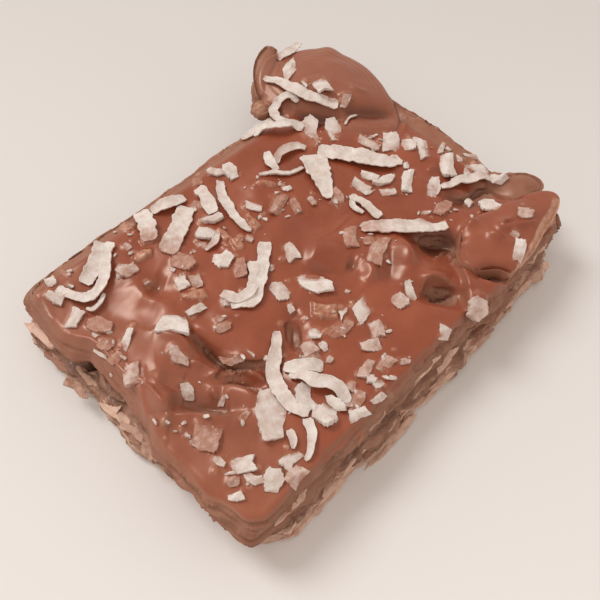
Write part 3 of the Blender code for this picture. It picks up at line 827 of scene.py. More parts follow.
# %% Chips: pixels of the two ends, width, blank, coat
CHIPS_LEFT = [
    (45, 284, 56, 278, 2.0, 1, 0.1), (45, 292, 63, 301, 2.0, 4, 0.15), (80, 307, 69, 329, 2.3, 6, 0.1),
    (133, 327, 119, 352, 1.4, 4, 0.25), (143, 284, 149, 281, 0.5, 3, 0.0), (168, 345, 187, 365, 2.1, 7, 0.55),
    (131, 362, 133, 387, 2.5, 1, 0.6), (143, 366, 143, 385, 0.7, 4, 0.6), (92, 334, 99, 336, 0.7, 3, 0.05),
    (104, 331, 112, 333, 0.5, 4, 0.05), (94, 349, 108, 356, 0.6, 4, 0.05), (86, 322, 112, 328, 2.7, 2, 0.8),
    (96, 341, 114, 345, 2.0, 3, 0.8), (108, 362, 124, 354, 2.1, 7, 0.8), (114, 271, 139, 268, 2.7, 7, 0.55),
    (121, 245, 132, 248, 1.4, 3, 0.4), (118, 226, 137, 224, 2.5, 3, 0.95), (141, 243, 158, 238, 1.8, 2, 0.85),
    (68, 270, 71, 276, 0.6, 3, 0.05), (67, 284, 74, 285, 0.7, 3, 0.05), (132, 262, 152, 250, 1.8, 3, 0.9),
    (156, 322, 191, 327, 3.6, 6, 0.1), (185, 314, 206, 304, 1.4, 4, 0.1), (180, 297, 209, 294, 1.8, 4, 0.85),
    (176, 285, 189, 279, 2.3, 9, 0.1), (189, 281, 202, 278, 2.5, 1, 0.6), (170, 258, 197, 263, 2.9, 3, 0.8),
    (169, 266, 175, 271, 0.7, 4, 0.1), (192, 249, 196, 251, 0.7, 3, 0.1), (196, 246, 208, 243, 1.4, 3, 0.6),
]
CHIPS_FRONT = [
    (179, 392, 193, 387, 2.9, 3, 0.3), (227, 392, 220, 407, 0.9, 4, 0.4), (250, 411, 238, 421, 1.1, 4, 0.6),
    (192, 432, 221, 441, 3.9, 1, 0.75), (213, 457, 225, 466, 1.2, 2, 0.05),
    (231, 466, 257, 463, 2.3, 9, 0.15),
    (224, 473, 236, 471, 0.5, 4, 0.1), (226, 483, 239, 477, 1.6, 3, 0.6), (243, 476, 266, 482, 1.6, 7, 0.35),
    (277, 466, 269, 491, 2.9, 2, 0.05), (300, 451, 282, 468, 2.3, 1, 0.0), (303, 465, 288, 484, 2.5, 1, 0.6),
    (228, 497, 245, 496, 1.2, 4, 0.05), (313, 408, 338, 422, 3.2, 3, 0.05), (312, 404, 318, 410, 1.1, 3, 0.0),
    (300, 379, 309, 411, 2.7, 7, 0.0), (326, 394, 348, 409, 1.8, 5, 0.1), (269, 387, 271, 443, 4.5, 2, 0.1),
    (265, 355, 268, 360, 0.7, 3, 0.0), (247, 350, 255, 357, 0.4, 4, 0.0), (154, 418, 158, 424, 0.4, 4, 0.1),
    (165, 418, 168, 424, 0.5, 4, 0.1), (181, 423, 187, 420, 0.5, 4, 0.1), (184, 433, 192, 437, 0.7, 7, 0.1),
    (172, 431, 177, 428, 0.4, 3, 0.1), (215, 330, 232, 322, 1.6, 3, 0.75), (214, 318, 226, 318, 1.2, 3, 0.65),
    (217, 356, 246, 360, 1.8, 7, 0.7), (214, 326, 218, 328, 0.4, 3, 0.1), (230, 305, 223, 296, 1.6, 3, 0.4),
]
CHIPS_MIDDLE = [
    (199, 218, 225, 217, 2.0, 7, 0.0), (194, 233, 216, 230, 2.3, 3, 0.0), (244, 204, 263, 208, 1.6, 1, 0.1),
    (261, 217, 268, 220, 0.5, 4, 0.3), (286, 243, 296, 261, 2.3, 9, 0.15), (271, 282, 289, 299, 2.7, 3, 0.1),
    (290, 302, 293, 313, 1.1, 4, 0.4), (295, 277, 335, 290, 3.6, 5, 0.15), (345, 291, 351, 291, 0.5, 3, 0.2),
    (363, 294, 361, 326, 3.6, 0, 0.05), (350, 226, 352, 247, 2.5, 1, 0.8), (384, 235, 373, 263, 2.9, 1, 0.75),
    (363, 240, 376, 239, 1.6, 2, 0.7), (283, 192, 273, 214, 2.3, 1, 0.8), (281, 187, 292, 188, 1.1, 7, 0.0),
    (292, 197, 299, 213, 1.6, 4, 0.8), (308, 196, 317, 203, 1.1, 3, 0.6), (334, 187, 341, 207, 2.3, 2, 0.7),
    (212, 262, 235, 255, 3.0, 7, 0.1), (241, 256, 241, 277, 1.8, 4, 0.8), (217, 228, 228, 240, 1.8, 2, 0.85),
    (233, 238, 243, 250, 1.6, 3, 0.9), (246, 214, 258, 231, 1.8, 4, 0.85), (245, 236, 254, 238, 1.2, 3, 0.6),
    (306, 316, 309, 319, 0.4, 3, 0.05), (311, 326, 320, 339, 2.3, 3, 0.1), (344, 304, 340, 322, 1.6, 8, 0.05),
    (311, 310, 338, 313, 2.9, 1, 0.9), (321, 340, 327, 350, 1.4, 2, 0.05), (302, 352, 318, 345, 2.3, 9, 0.6),
    (328, 336, 351, 318, 2.5, 1, 0.8), (303, 359, 321, 353, 1.4, 4, 0.7), (328, 356, 334, 361, 1.1, 3, 0.45),
    (375, 320, 381, 338, 2.1, 9, 0.5), (360, 345, 382, 344, 2.0, 4, 0.45), (393, 356, 380, 371, 2.3, 1, 0.6),
    (372, 359, 361, 379, 1.8, 4, 0.6), (369, 373, 375, 384, 1.6, 7, 0.0), (373, 387, 385, 383, 1.4, 2, 0.0),
    (388, 378, 397, 377, 0.7, 3, 0.1), (352, 379, 352, 393, 1.4, 3, 0.7), (362, 390, 349, 409, 2.3, 9, 0.7),
    (348, 417, 370, 409, 1.8, 6, 0.2), (370, 401, 386, 392, 1.2, 4, 0.25), (268, 266, 274, 268, 1.1, 3, 0.5),
    (255, 182, 280, 186, 1.4, 3, 0.9), (193, 183, 203, 178, 1.6, 3, 0.8), (196, 190, 208, 196, 1.6, 2, 0.45),
    (190, 204, 208, 203, 1.6, 3, 0.75), (205, 172, 228, 172, 2.1, 7, 0.35),
    (226, 163, 234, 178, 2.5, 2, 0.15),
]
CHIPS_RIGHT = [
    (435, 214, 450, 202, 2.3, 2, 0.75), (421, 213, 432, 211, 0.7, 3, 0.1), (469, 197, 470, 208, 1.8, 0, 0.3),
    (482, 200, 499, 210, 3.4, 7, 0.05), (517, 213, 535, 211, 2.5, 3, 0.55), (521, 239, 517, 261, 1.8, 9, 0.1),
    (510, 232, 520, 234, 1.4, 3, 0.6), (484, 295, 469, 319, 3.6, 2, 0.5), (446, 324, 441, 343, 2.1, 6, 0.05),
    (406, 279, 414, 300, 1.4, 4, 0.05), (393, 295, 409, 305, 2.5, 3, 0.5), (400, 363, 411, 358, 1.1, 3, 0.5),
    (293, 58, 286, 80, 2.7, 0, 0.1), (315, 74, 327, 96, 3.0, 9, 0.0), (302, 79, 307, 87, 0.6, 4, 0.0),
    (342, 105, 348, 91, 1.6, 4, 0.6), (308, 115, 312, 149, 3.6, 7, 0.1), (331, 118, 336, 140, 3.2, 2, 0.1),
    (352, 180, 370, 190, 2.1, 1, 0.0), (361, 172, 380, 178, 1.6, 1, 0.05), (372, 184, 395, 175, 2.0, 5, 0.15),
    (380, 192, 396, 191, 1.8, 1, 0.3), (362, 195, 378, 188, 0.9, 8, 0.05), (357, 136, 381, 148, 2.5, 1, 0.5),
    (391, 132, 391, 152, 3.0, 9, 0.05), (400, 145, 418, 143, 3.0, 3, 0.25), (418, 138, 427, 159, 2.5, 6, 0.2),
    (409, 168, 406, 192, 2.1, 1, 0.25), (404, 161, 409, 167, 1.1, 3, 0.05),
    (436, 178, 431, 198, 2.3, 2, 0.25),
    (446, 153, 449, 178, 2.9, 1, 0.05), (443, 143, 440, 153, 0.9, 4, 0.3), (444, 148, 451, 150, 1.1, 3, 0.3),
    (459, 151, 460, 163, 1.1, 4, 0.05), (462, 169, 490, 163, 2.3, 6, 0.15),
    (463, 155, 480, 152, 1.1, 4, 0.35),
    (489, 175, 512, 172, 2.1, 7, 0.2), (411, 114, 433, 112, 1.1, 4, 0.3),
]
CHIPS = CHIPS_LEFT + CHIPS_FRONT + CHIPS_MIDDLE + CHIPS_RIGHT

# From these coats on, a chip has a film of chocolate, and is a mound in the chocolate's skin.
COATED = 0.3
HIDDEN_COAT = 0.85
print("chips under chocolate:", sum(chip[6] >= HIDDEN_COAT for chip in CHIPS))

# %% Shreds: pixels of the path, widths at start, middle and end, coats at the ends, lift in the middle
SHREDS = [
    ([(57, 288), (66, 292), (76, 296), (86, 297), (95, 292), (101, 284), (105, 274), (106, 262), (107, 250),
      (112, 243)], (1.4, 1.6, 1.6), (0, 0), 0.7),
    ([(102, 244), (97, 257), (92, 269), (84, 283)], (2.1, 2.5, 2.1), (0, 0.25), 0.5),
    ([(104, 293), (102, 300), (97, 306), (92, 309), (87, 309)], (0.5, 0.7, 0.5), (0.1, 0.3), 0.5),
    ([(138, 208), (144, 218), (148, 229), (150, 240)], (2.5, 2.5, 2.5), (0, 0.7), 0.4),
    ([(151, 212), (161, 206), (172, 201), (184, 198)], (1.6, 2.1, 1.6), (0, 0), 0.6),
    ([(186, 207), (182, 220), (175, 236), (167, 253)], (2.9, 3.0, 3.2), (0, 0.7), 0.3),
    ([(198, 189), (207, 198), (213, 213)], (1.8, 2.1, 2.1), (0.4, 0), 0.4),
    ([(217, 231), (214, 242), (206, 250)], (1.2, 1.1, 0.7), (0.3, 0.5), 0.3),
    ([(220, 181), (221, 193), (228, 206), (237, 218), (246, 227), (252, 229)],
     (1.4, 1.8, 1.2), (0, 0.2), 0.5),
    ([(265, 242), (264, 255), (262, 270), (260, 284), (257, 296), (251, 302), (242, 303), (232, 306)],
     (2.0, 1.8, 1.4), (0.1, 0.2), 0.5),
    ([(254, 261), (254, 275), (252, 287), (246, 295), (236, 298), (222, 294)],
     (1.6, 1.6, 1.6), (0, 0.35), 0.5),
    ([(277, 331), (277, 342), (275, 355), (273, 368), (275, 380), (281, 392), (290, 402), (300, 409),
      (309, 413)], (1.4, 2.3, 1.6), (0, 0.15), 0.5),
    ([(284, 367), (296, 366), (308, 365), (323, 366)], (1.6, 2.0, 1.8), (0, 0.4), 0.4),
    ([(291, 372), (304, 376), (316, 380), (328, 381), (338, 386), (344, 394), (347, 402)],
     (1.6, 2.0, 1.6), (0.2, 0.1), 1.3),
    ([(307, 419), (312, 431), (311, 443), (310, 452), (306, 460)], (1.8, 1.2, 0.7), (0, 0), 0.3),
    ([(289, 430), (293, 438), (293, 448)], (1.1, 1.2, 0.7), (0, 0), 0.3),
    ([(361, 227), (380, 226), (400, 226), (420, 225), (446, 223)], (1.8, 3.2, 3.2), (0.65, 0), 0.6),
    ([(264, 77), (278, 81), (292, 87), (306, 93), (320, 98), (338, 104)], (1.4, 2.3, 2.1), (0, 0.1), 0.4),
    ([(298, 100), (290, 94), (280, 96), (274, 103), (273, 112), (277, 119), (286, 122)],
     (1.1, 1.6, 1.4), (0.3, 0), 0.9),
    ([(242, 135), (252, 128), (262, 122), (272, 119)], (0.9, 1.4, 1.2), (0.1, 0), 0.3),
    ([(254, 136), (262, 130), (272, 126), (284, 124), (294, 124), (303, 128)], (1.1, 1.6, 1.6), (0, 0), 1.2),
    ([(318, 151), (335, 152), (352, 154), (370, 158), (388, 161), (400, 158)], (2.5, 3.4, 2.5), (0, 0), 0.7),
    ([(275, 164), (279, 154), (287, 148), (297, 145), (305, 148)], (1.2, 1.6, 1.2), (0.4, 0.4), 0.8),
    ([(267, 152), (270, 161), (277, 170)], (1.2, 1.6, 1.4), (0, 0), 0.3),
    ([(259, 174), (272, 173), (285, 173), (295, 171), (303, 168)], (0.7, 0.9, 0.7), (0, 0), 0.2),
    ([(312, 156), (318, 168), (323, 180), (329, 198)], (4.6, 3.6, 1.4), (0.15, 0.15), 0.5),
    ([(350, 195), (360, 200), (368, 206), (380, 217)], (1.1, 1.6, 1.4), (0, 0), 0.6),
    ([(351, 199), (354, 207), (363, 213)], (0.7, 1.1, 0.7), (0, 0.3), 0.2),
    ([(441, 187), (450, 185), (459, 180), (470, 178), (482, 176), (492, 172)], (1.2, 1.6, 1.4), (0, 0), 0.7),
    ([(277, 58), (286, 53), (294, 46), (300, 41)], (1.6, 1.8, 1.1), (0.45, 0.1), 0.6),
    ([(345, 124), (349, 118), (357, 116)], (0.4, 0.4, 0.3), (0.3, 0.3), 0.2),
]
print(len(CHIPS), "chips,", len(SHREDS), "shreds")

# %% [markdown]
# ## Folds, valleys and films in the chocolate
#
# Poured chocolate that was moved while it set has folds: one side rises gently, and the
# other falls away sharply. A fold follows a line of a few points, and its height at any
# point comes from the distance to that line, signed by the side. A valley is the same, but
# sinks. Coconut that is hidden under chocolate is a low grainy mound in the same skin.

# %% Folds and valleys: pixels of the line, rise or depth, reach on its right, reach on its left
FOLDS = [
    ([(136, 281), (141, 293), (150, 301), (164, 304), (176, 300)], 0.65, 2.6, 1.0),
    ([(155, 331), (170, 334), (184, 340), (190, 351)], 0.5, 1.2, 0.5),
    ([(228, 372), (240, 371), (252, 374), (268, 383)], 1.1, 0.7, 0.5),
    ([(222, 386), (238, 388), (250, 396), (258, 408)], 0.8, 2.0, 0.7),
    ([(213, 388), (214, 394), (216, 401)], 0.45, 0.6, 0.5),
    ([(191, 361), (204, 365)], 0.45, 0.7, 0.5),
    ([(218, 362), (219, 369), (211, 376)], 0.5, 0.8, 0.5),
    ([(176, 391), (168, 402), (167, 417)], 0.95, 2.4, 0.8),
    ([(158, 369), (159, 378), (155, 388)], 0.5, 1.4, 0.8),
    ([(172, 416), (200, 416), (234, 421)], 0.75, 0.9, 0.4),
    ([(318, 240), (316, 252), (310, 266)], 0.6, 1.3, 3.2),
    ([(364, 260), (372, 272), (366, 284)], 0.6, 1.3, 1.0),
    ([(396, 235), (406, 246), (410, 258), (410, 268)], 0.8, 1.7, 1.6),
    ([(450, 285), (436, 279), (426, 281), (421, 290)], 0.8, 1.3, 0.4),
    ([(467, 322), (468, 304), (467, 290), (463, 275), (458, 258)], 0.9, 2.6, 0.4),
    ([(482, 281), (494, 287), (506, 290)], 0.6, 0.8, 0.5),
    ([(487, 232), (503, 240)], 0.7, 0.9, 0.5),
    ([(512, 219), (502, 223), (505, 228), (532, 222)], 0.7, 0.7, 0.5),
    ([(349, 85), (358, 90), (366, 91)], 0.3, 0.5, 0.5),
    ([(475, 218), (466, 227)], 0.5, 0.8, 1.0),
    ([(406, 114), (404, 132)], 0.4, 0.6, 0.6),
    ([(434, 166), (428, 173)], 0.3, 0.6, 0.5),
    ([(144, 388), (156, 402), (167, 417)], 0.5, 1.2, 0.6),
]
VALLEYS = [
    ([(190, 330), (202, 342), (214, 354), (228, 364), (245, 368), (262, 367)], 1.7, 1.2, 0.8),
    ([(222, 379), (240, 384), (258, 388)], 1.2, 0.6, 0.6),
    ([(176, 404), (195, 406), (215, 408), (232, 411)], 1.1, 0.9, 1.2),
    ([(415, 238), (432, 238), (448, 240), (455, 252)], 2.2, 2.6, 1.8),
    ([(425, 296), (440, 295), (458, 292)], 1.7, 1.5, 1.0),
    ([(478, 273), (495, 273), (510, 277)], 2.2, 1.0, 0.7),
    ([(292, 318), (294, 335), (296, 352)], 1.1, 1.0, 1.0),
    ([(346, 262), (358, 266)], 0.9, 1.7, 1.7),
    ([(392, 245), (392, 262), (388, 285)], 0.8, 1.4, 1.4),
    ([(300, 272), (318, 271), (336, 278)], 0.6, 0.9, 0.8),
    ([(150, 284), (163, 288)], 0.8, 2.0, 2.0),
    ([(440, 192), (465, 196), (490, 187), (515, 196)], 1.7, 2.2, 1.6),
    ([(338, 106), (366, 108), (398, 114)], 1.4, 2.6, 1.8),
    ([(292, 110), (318, 115), (346, 114)], 1.5, 1.5, 1.5),
]

# %% Outlines of the blanks, each for a piece one unit long and one wide
# Kite, rough rectangle, pentagon, hexagon, long, leaf, trapezoid, nibbled, triangle, cut square.
OUTLINES = [
    [(-0.5, 0.05), (-0.05, 0.5), (0.5, 0.0), (0.0, -0.5)],
    [(-0.48, 0.42), (0.1, 0.36), (0.42, 0.5), (0.5, -0.38), (-0.1, -0.5), (-0.42, -0.34)],
    [(-0.5, 0.2), (-0.1, 0.5), (0.45, 0.35), (0.5, -0.25), (0.0, -0.5), (-0.42, -0.35)],
    [(-0.5, -0.1), (-0.25, 0.5), (0.3, 0.42), (0.5, 0.05), (0.28, -0.5), (-0.3, -0.42)],
    [(-0.5, 0.3), (-0.1, 0.42), (0.35, 0.5), (0.5, -0.35), (0.1, -0.5), (-0.42, -0.3)],
    [(-0.5, 0.0), (-0.3, 0.38), (0.1, 0.5), (0.38, 0.3), (0.5, -0.1), (0.2, -0.5), (-0.25, -0.35)],
    [(-0.35, 0.5), (0.32, 0.38), (0.5, -0.45), (0.05, -0.38), (-0.5, -0.5)],
    [(-0.5, 0.1), (-0.3, 0.5), (0.05, 0.3), (0.3, 0.5), (0.5, 0.0), (0.25, -0.3), (0.1, -0.5), (-0.3, -0.4)],
    [(-0.5, 0.5), (0.5, 0.1), (0.1, -0.1), (-0.1, -0.5), (-0.35, -0.3)],
    [(-0.5, 0.35), (-0.25, 0.5), (0.45, 0.48), (0.38, 0.1), (0.5, -0.45), (-0.45, -0.5)],
]
SPLINTERS = [
    [(-0.5, 0.0), (-0.3, 0.4), (0.1, 0.32), (0.34, 0.5), (0.5, -0.1), (0.2, -0.45), (-0.25, -0.4)],
    [(-0.5, -0.2), (-0.2, 0.5), (0.25, 0.4), (0.5, 0.1), (0.3, -0.5), (-0.3, -0.35)],
    [(-0.5, 0.3), (0.0, 0.5), (0.5, 0.05), (0.28, -0.4), (-0.1, -0.25), (-0.36, -0.5)],
]
print(len(OUTLINES), "outlines of chips,", len(SPLINTERS), "of splinters")

# %% Distances to lines and outlines
FAR_AWAY = 1e9
FOLD_STEP = 0.25


def line_distance(points, line):
    """Signed distance to a line in plan, and how far along it the nearest place is (0 to 1)."""
    best = np.full(len(points), FAR_AWAY)
    sign = np.ones(len(points))
    share = np.zeros(len(points))
    lengths = np.linalg.norm(np.diff(line, axis=0), axis=1)
    passed = 0.0
    for start, end, length in zip(line, line[1:], lengths):
        ahead = (end - start) / length
        offset = points[:, :2] - start
        part = np.clip(offset @ ahead, 0.0, length)
        distance = np.linalg.norm(offset - part[:, None] * ahead, axis=1)
        closer = distance < best
        best = np.where(closer, distance, best)
        side = ahead[0] * offset[:, 1] - ahead[1] * offset[:, 0]
        sign = np.where(closer, np.where(side < 0, -1.0, 1.0), sign)
        share = np.where(closer, (passed + part) / lengths.sum(), share)
        passed += length
    return best * sign, share


def depth_inside(points, outline):
    """Distance of each point from a closed outline in plan, positive inside it."""
    nearest = np.full(len(points), FAR_AWAY)
    inside = np.zeros(len(points), bool)
    for start, end in zip(outline, np.roll(outline, -1, axis=0)):
        edge = end - start
        offset = points[:, :2] - start
        part = np.clip(offset @ edge / (edge @ edge), 0.0, 1.0)
        nearest = np.minimum(nearest, np.linalg.norm(offset - part[:, None] * edge, axis=1))
        crosses = (start[1] > points[:, 1]) != (end[1] > points[:, 1])
        reach = start[0] + offset[:, 1] * edge[0] / (edge[1] if edge[1] else 1e-9)
        inside ^= crosses & (points[:, 0] < reach)
    return np.where(inside, nearest, -nearest)


def near_box(points, places, reach):
    """Which points lie within reach of the box round some places in plan."""
    low, high = places.min(axis=0) - reach, places.max(axis=0) + reach
    return np.flatnonzero(((points[:, :2] > low) & (points[:, :2] < high)).all(axis=1))


def fold_shape(points, pixels, right, left):
    """1 along the line, falling off over the given reach on either side and towards the ends."""
    line = smooth_line([seen_on(x, y)[:2] for x, y in pixels], FOLD_STEP)
    near = near_box(points, line, 2.4 * max(right, left))
    distance, share = line_distance(points[near], line)
    fall = np.where(distance < 0, distance / right, distance / left)
    shape = np.zeros(len(points))
    shape[near] = np.sqrt(np.sin(np.pi * np.clip(share, 0.04, 0.96))) * np.exp(-(np.abs(fall) ** 1.6))
    return shape


def chip_frame(x0, y0, x1, y1, above=0.0):
    """Middle, length and heading in degrees of a chip whose ends show at two pixels."""
    start, end = seen_on(x0, y0, above), seen_on(x1, y1, above)
    run = end - start
    return (start + end) / 2, math.hypot(run[0], run[1]), math.degrees(math.atan2(run[1], run[0]))


def mound_shape(points, middle, length, width, heading, kind, soft):
    """About 1 inside a chip's outline, falling to 0 over a soft edge."""
    forward, across = np.array(along(heading)[:2]), np.array(along(heading + 90.0)[:2])
    corners = np.array(OUTLINES[kind]) * (length, width)
    outline = middle[:2] + corners[:, :1] * forward + corners[:, 1:] * across
    near = near_box(points, outline, soft + 0.5)
    depth = depth_inside(points[near], outline) + 0.16 * ripple(points[near], 0.8, middle[0])
    shape = np.zeros(len(points))
    shape[near] = smooth(0.45 + depth / soft)
    return shape


# %% Where on the slab each point lies; the heights tell a top from what is under it
TOP_ABOVE = 7.4
RUN_OVER_ABOVE = 8.0
LOBE_ABOVE = 8.6
FLAP_ABOVE = 9.4

points, normals = read_points(slab.data), read_points(slab.data, "vector")
upward = smooth((normals[:, 2] - 0.25) / 0.45) * (points[:, 2] > TOP_ABOVE)
lobe_depth, flap_depth = depth_inside(points, lobe_rim), depth_inside(points, flap_rim)
on_lobe = smooth((lobe_depth + 0.5) / 0.5) * (points[:, 2] > LOBE_ABOVE)
on_flap = smooth((flap_depth + 0.5) / 0.5) * (points[:, 2] > FLAP_ABOVE)
print("points on the lobe", int((on_lobe > 0.5).sum()), "and on the flap", int((on_flap > 0.5).sum()))

# %% The relief of the top
FOLD_GAIN = 1.7
VALLEY_GAIN = 1.2
SLOW_RISE, SLOW_SIZE = 0.22, 4.6
FINE_RISE, FINE_SIZE = 0.02, 1.9
BACK_EDGE = 21.6
RIGHT_EDGE = 32.4
FAR_DROP = 0.9
STRIATION = 0.03
STRIATIONS_PER_MM = 0.9
RIM_DROP = 1.1
RIM_REACH = 1.6

rise = SLOW_RISE * ripples(points, SLOW_SIZE, 2.2) + FINE_RISE * ripples(points, FINE_SIZE)
far_edge = np.maximum(smooth((points[:, 1] - BACK_EDGE) / 2.5), smooth((points[:, 0] - RIGHT_EDGE) / 2.0))
far_edge *= (1.0 - on_lobe) * (1.0 - on_flap)
rise -= FAR_DROP * far_edge**2
for pixels, height, right, left in FOLDS:
    rise += FOLD_GAIN * height * fold_shape(points, pixels, right, left)
# Valleys sink, and the deeper ones are also marked for a darker colour: painted shade.
hollow = np.zeros(len(points))
for pixels, depth, right, left in VALLEYS:
    dip = VALLEY_GAIN * depth * fold_shape(points, pixels, right, left)
    rise -= dip
    hollow = np.maximum(hollow, smooth((dip - 0.3) / 1.3))
arcs = np.sin(2 * np.pi * (lobe_depth * STRIATIONS_PER_MM + 0.3 * ripples(points, 4.0)))
rise += STRIATION * arcs * on_lobe * smooth((6.0 - lobe_depth) / 3.0)

# The flap's rim slopes down to the right, outside a line that the picture shows.
rim_line = smooth_line([seen_at(x, y, FLAP_SEEN)[:2] for x, y in RIM_LINE], 0.5)
near = near_box(points, rim_line, 4.0)
beyond = np.zeros(len(points))
distance, share = line_distance(points[near], rim_line)
sloping = np.clip(distance, 0.0, RIM_REACH) / RIM_REACH
beyond[near] = sloping * smooth(share / 0.08) * smooth((1.0 - share) / 0.08)
beyond *= on_flap
rise -= RIM_DROP * beyond
print("folds", len(FOLDS), "valleys", len(VALLEYS), "deepest", round(float(rise.min()), 2), "mm")

# %% Hidden coconut: mounds, films and small bits round them
MOUND_RISES = (0.30, 0.55)
BIT_SPREAD = 1.3
BIT_SIZES = (0.5, 1.5)
BIT_RISE = 0.28
LUMP_SPREAD = 4.0
LUMP_GRAIN = 0.35

draw = random.Random(SEED)
film = np.zeros(len(points))
grainy = ripples(points, 0.7, 3.1) + 0.5 * ripples(points, 0.35, 5.2)
for x0, y0, x1, y1, width, kind, coat in CHIPS:
    middle, length, heading = chip_frame(x0, y0, x1, y1)
    hidden = coat >= HIDDEN_COAT
    shape = mound_shape(points, middle, length, width, heading, kind, 0.5 if hidden else 0.9)
    height = draw.uniform(*MOUND_RISES) if hidden else 0.06 + 0.2 * coat
    rise += shape * (height + (0.12 if hidden else 0.03) * grainy)
    film = np.maximum(film, shape * (1.25 - 0.5 * coat if hidden else 0.3))
    for _ in range(3 if hidden else 1):
        spot = middle + (draw.gauss(0.0, BIT_SPREAD), draw.gauss(0.0, BIT_SPREAD), 0.0)
        size = draw.uniform(*BIT_SIZES)
        turn, part = draw.uniform(0.0, 180.0), draw.uniform(0.3, 0.9)
        bit = mound_shape(points, spot, size, size * 0.7, turn, 3, 0.4)
        rise += bit * (BIT_RISE * part + 0.08 * grainy)
        film = np.maximum(film, bit * part)
lump = round_patch(points, LUMP["x"], LUMP["y"], LUMP_SPREAD) * (points[:, 2] > RUN_OVER_ABOVE)
points += normals * (lump * LUMP_GRAIN * grainy)[:, None]
points[:, 2] += rise * upward
set_points(slab.data, points)
print("relief from", round(float(rise.min()), 2), "to", round(float(rise.max()), 2), "mm")

# %% [markdown]
# ## The cut and torn sides
#
# A knife broke the bar more than it cut it. Below the top edge a smooth face shows, and
# lower down the chocolate parted in thin ledges that run along the side. Noise that is
# stretched along the side, then sharpened into steps, gives such ledges. At the left end the
# chocolate stands clear of the layer below, with a dark gap under it.

# %% Helpers for ledges and flat faces
def ledges(points, depth, thick, shift, length):
    """Stepped noise, stretched along the sides: how far the surface stands out."""
    level = ripples(points, (length, length, thick), shift) * 3.2
    step = np.floor(level)
    return 0.5 * depth * (step + smooth((level - step - 0.35) / 0.3))


def push_sides(points, normals, push):
    level = np.maximum(np.hypot(normals[:, 0], normals[:, 1]), 1e-6)
    points[:, :2] += normals[:, :2] / level[:, None] * push[:, None]


def flatten(obj, height, facing):
    """Makes a hidden face flat at a height and takes its inner edges out; facing is 1 or -1."""
    bm = bmesh.new()
    bm.from_mesh(obj.data)
    level = [face for face in bm.faces if face.normal.z * facing > 0.97]
    flat = {face for face in level if abs(face.calc_center_median().z - height) < 0.25}
    for vert in {vert for face in flat for vert in face.verts}:
        vert.co.z = height
    inner = [e for e in bm.edges if len(e.link_faces) == 2 and all(face in flat for face in e.link_faces)]
    bmesh.ops.dissolve_edges(bm, edges=inner, use_verts=True)
    bmesh.ops.triangulate(bm, faces=[face for face in bm.faces if len(face.verts) > 4])
    bm.to_mesh(obj.data)
    bm.free()


# %% Ledges in the slab's sides
# Depth, thickness, shift of the noise, and length along the side.
TOPPING_LEDGES = ((0.6, 0.6, 1.7, 14.0), (0.32, 0.3, 4.4, 8.0))
CRAG_TOP = 9.7
GROOVE_LEVEL = -0.15
CRUMBLED_CORNER = dict(x=-36.0, y=-19.0, spread=40.0)

normals = read_points(slab.data, "vector")
sideways = smooth((np.hypot(normals[:, 0], normals[:, 1]) - 0.35) / 0.4)
front = smooth((-normals[:, 1] - 0.2) / 0.4)
back = smooth((normals[:, 1] - 0.2) / 0.4)
corner = round_patch(points, **CRUMBLED_CORNER)
left_end = smooth((-points[:, 0] - 32.5) / 2.5)
rough = np.clip(front + 0.8 * back + 1.2 * corner + 0.25 * left_end + 0.15, 0.0, 1.0)
rough *= (1.0 - on_lobe) * (1.0 - on_flap)
low = smooth((CRAG_TOP - points[:, 2]) / 0.6)
crags = sum(ledges(points, *sizes) for sizes in TOPPING_LEDGES)
crags += 0.05 * ripples(points, (2.4, 2.4, 0.6), 3.7)
groove = smooth((GROOVE_LEVEL - crags) / 0.3) * sideways * rough * low
push_sides(points, normals, sideways * rough * low * crags)
print("ledges stand out by up to", round(float((rough * crags).max()), 2), "mm")

# %% The gap and the slant at the left end
GAP_PIXELS = [(75, 368), (162, 436)]
GAP_SEEN = 6.0
GAP_SHIFT = 0.8
GAP_REACH = 1.8
GAP_TOP = 6.5
LEFT_FLARE = 1.3
LEFT_SLANT = 1.4

gap_back, gap_front = (seen_at(x, y, GAP_SEEN)[1] for x, y in GAP_PIXELS)


def gap_span(points):
    """1 along the stretch of the left end where the gap shows, falling to 0 on either side."""
    return smooth((gap_back + 1.5 - points[:, 1]) / 3.0) * smooth((points[:, 1] - gap_front + 1.5) / 3.0)


span = gap_span(points)
gap = span * smooth((GAP_TOP + 0.7 * ripples(points, 2.5, 6.1) - points[:, 2]) / 0.5)
near_end = smooth((-points[:, 0] - 30.0) / 6.5)
points[:, 0] -= LEFT_FLARE * left_end * smooth((9.9 - points[:, 2]) / 3.5) * (1.0 - span)
points[:, 0] += (GAP_SHIFT * span + GAP_REACH * gap) * near_end
slanted = smooth((points[:, 1] + 4.0) / 5.0) * smooth((15.0 - points[:, 1]) / 4.0)
beside_end = smooth((-points[:, 0] - 31.5) / 4.0)
points[:, 0] += LEFT_SLANT * slanted * beside_end * smooth((points[:, 2] - 6.0) / 4.0)
set_points(slab.data, points)
print("gap from y", round(gap_back, 1), "to", round(gap_front, 1))

# %% What the chocolate's material reads: film, torn, bloom and painted shade
EAR_REACH = 3.2
BUMP_SPREAD = 8.0
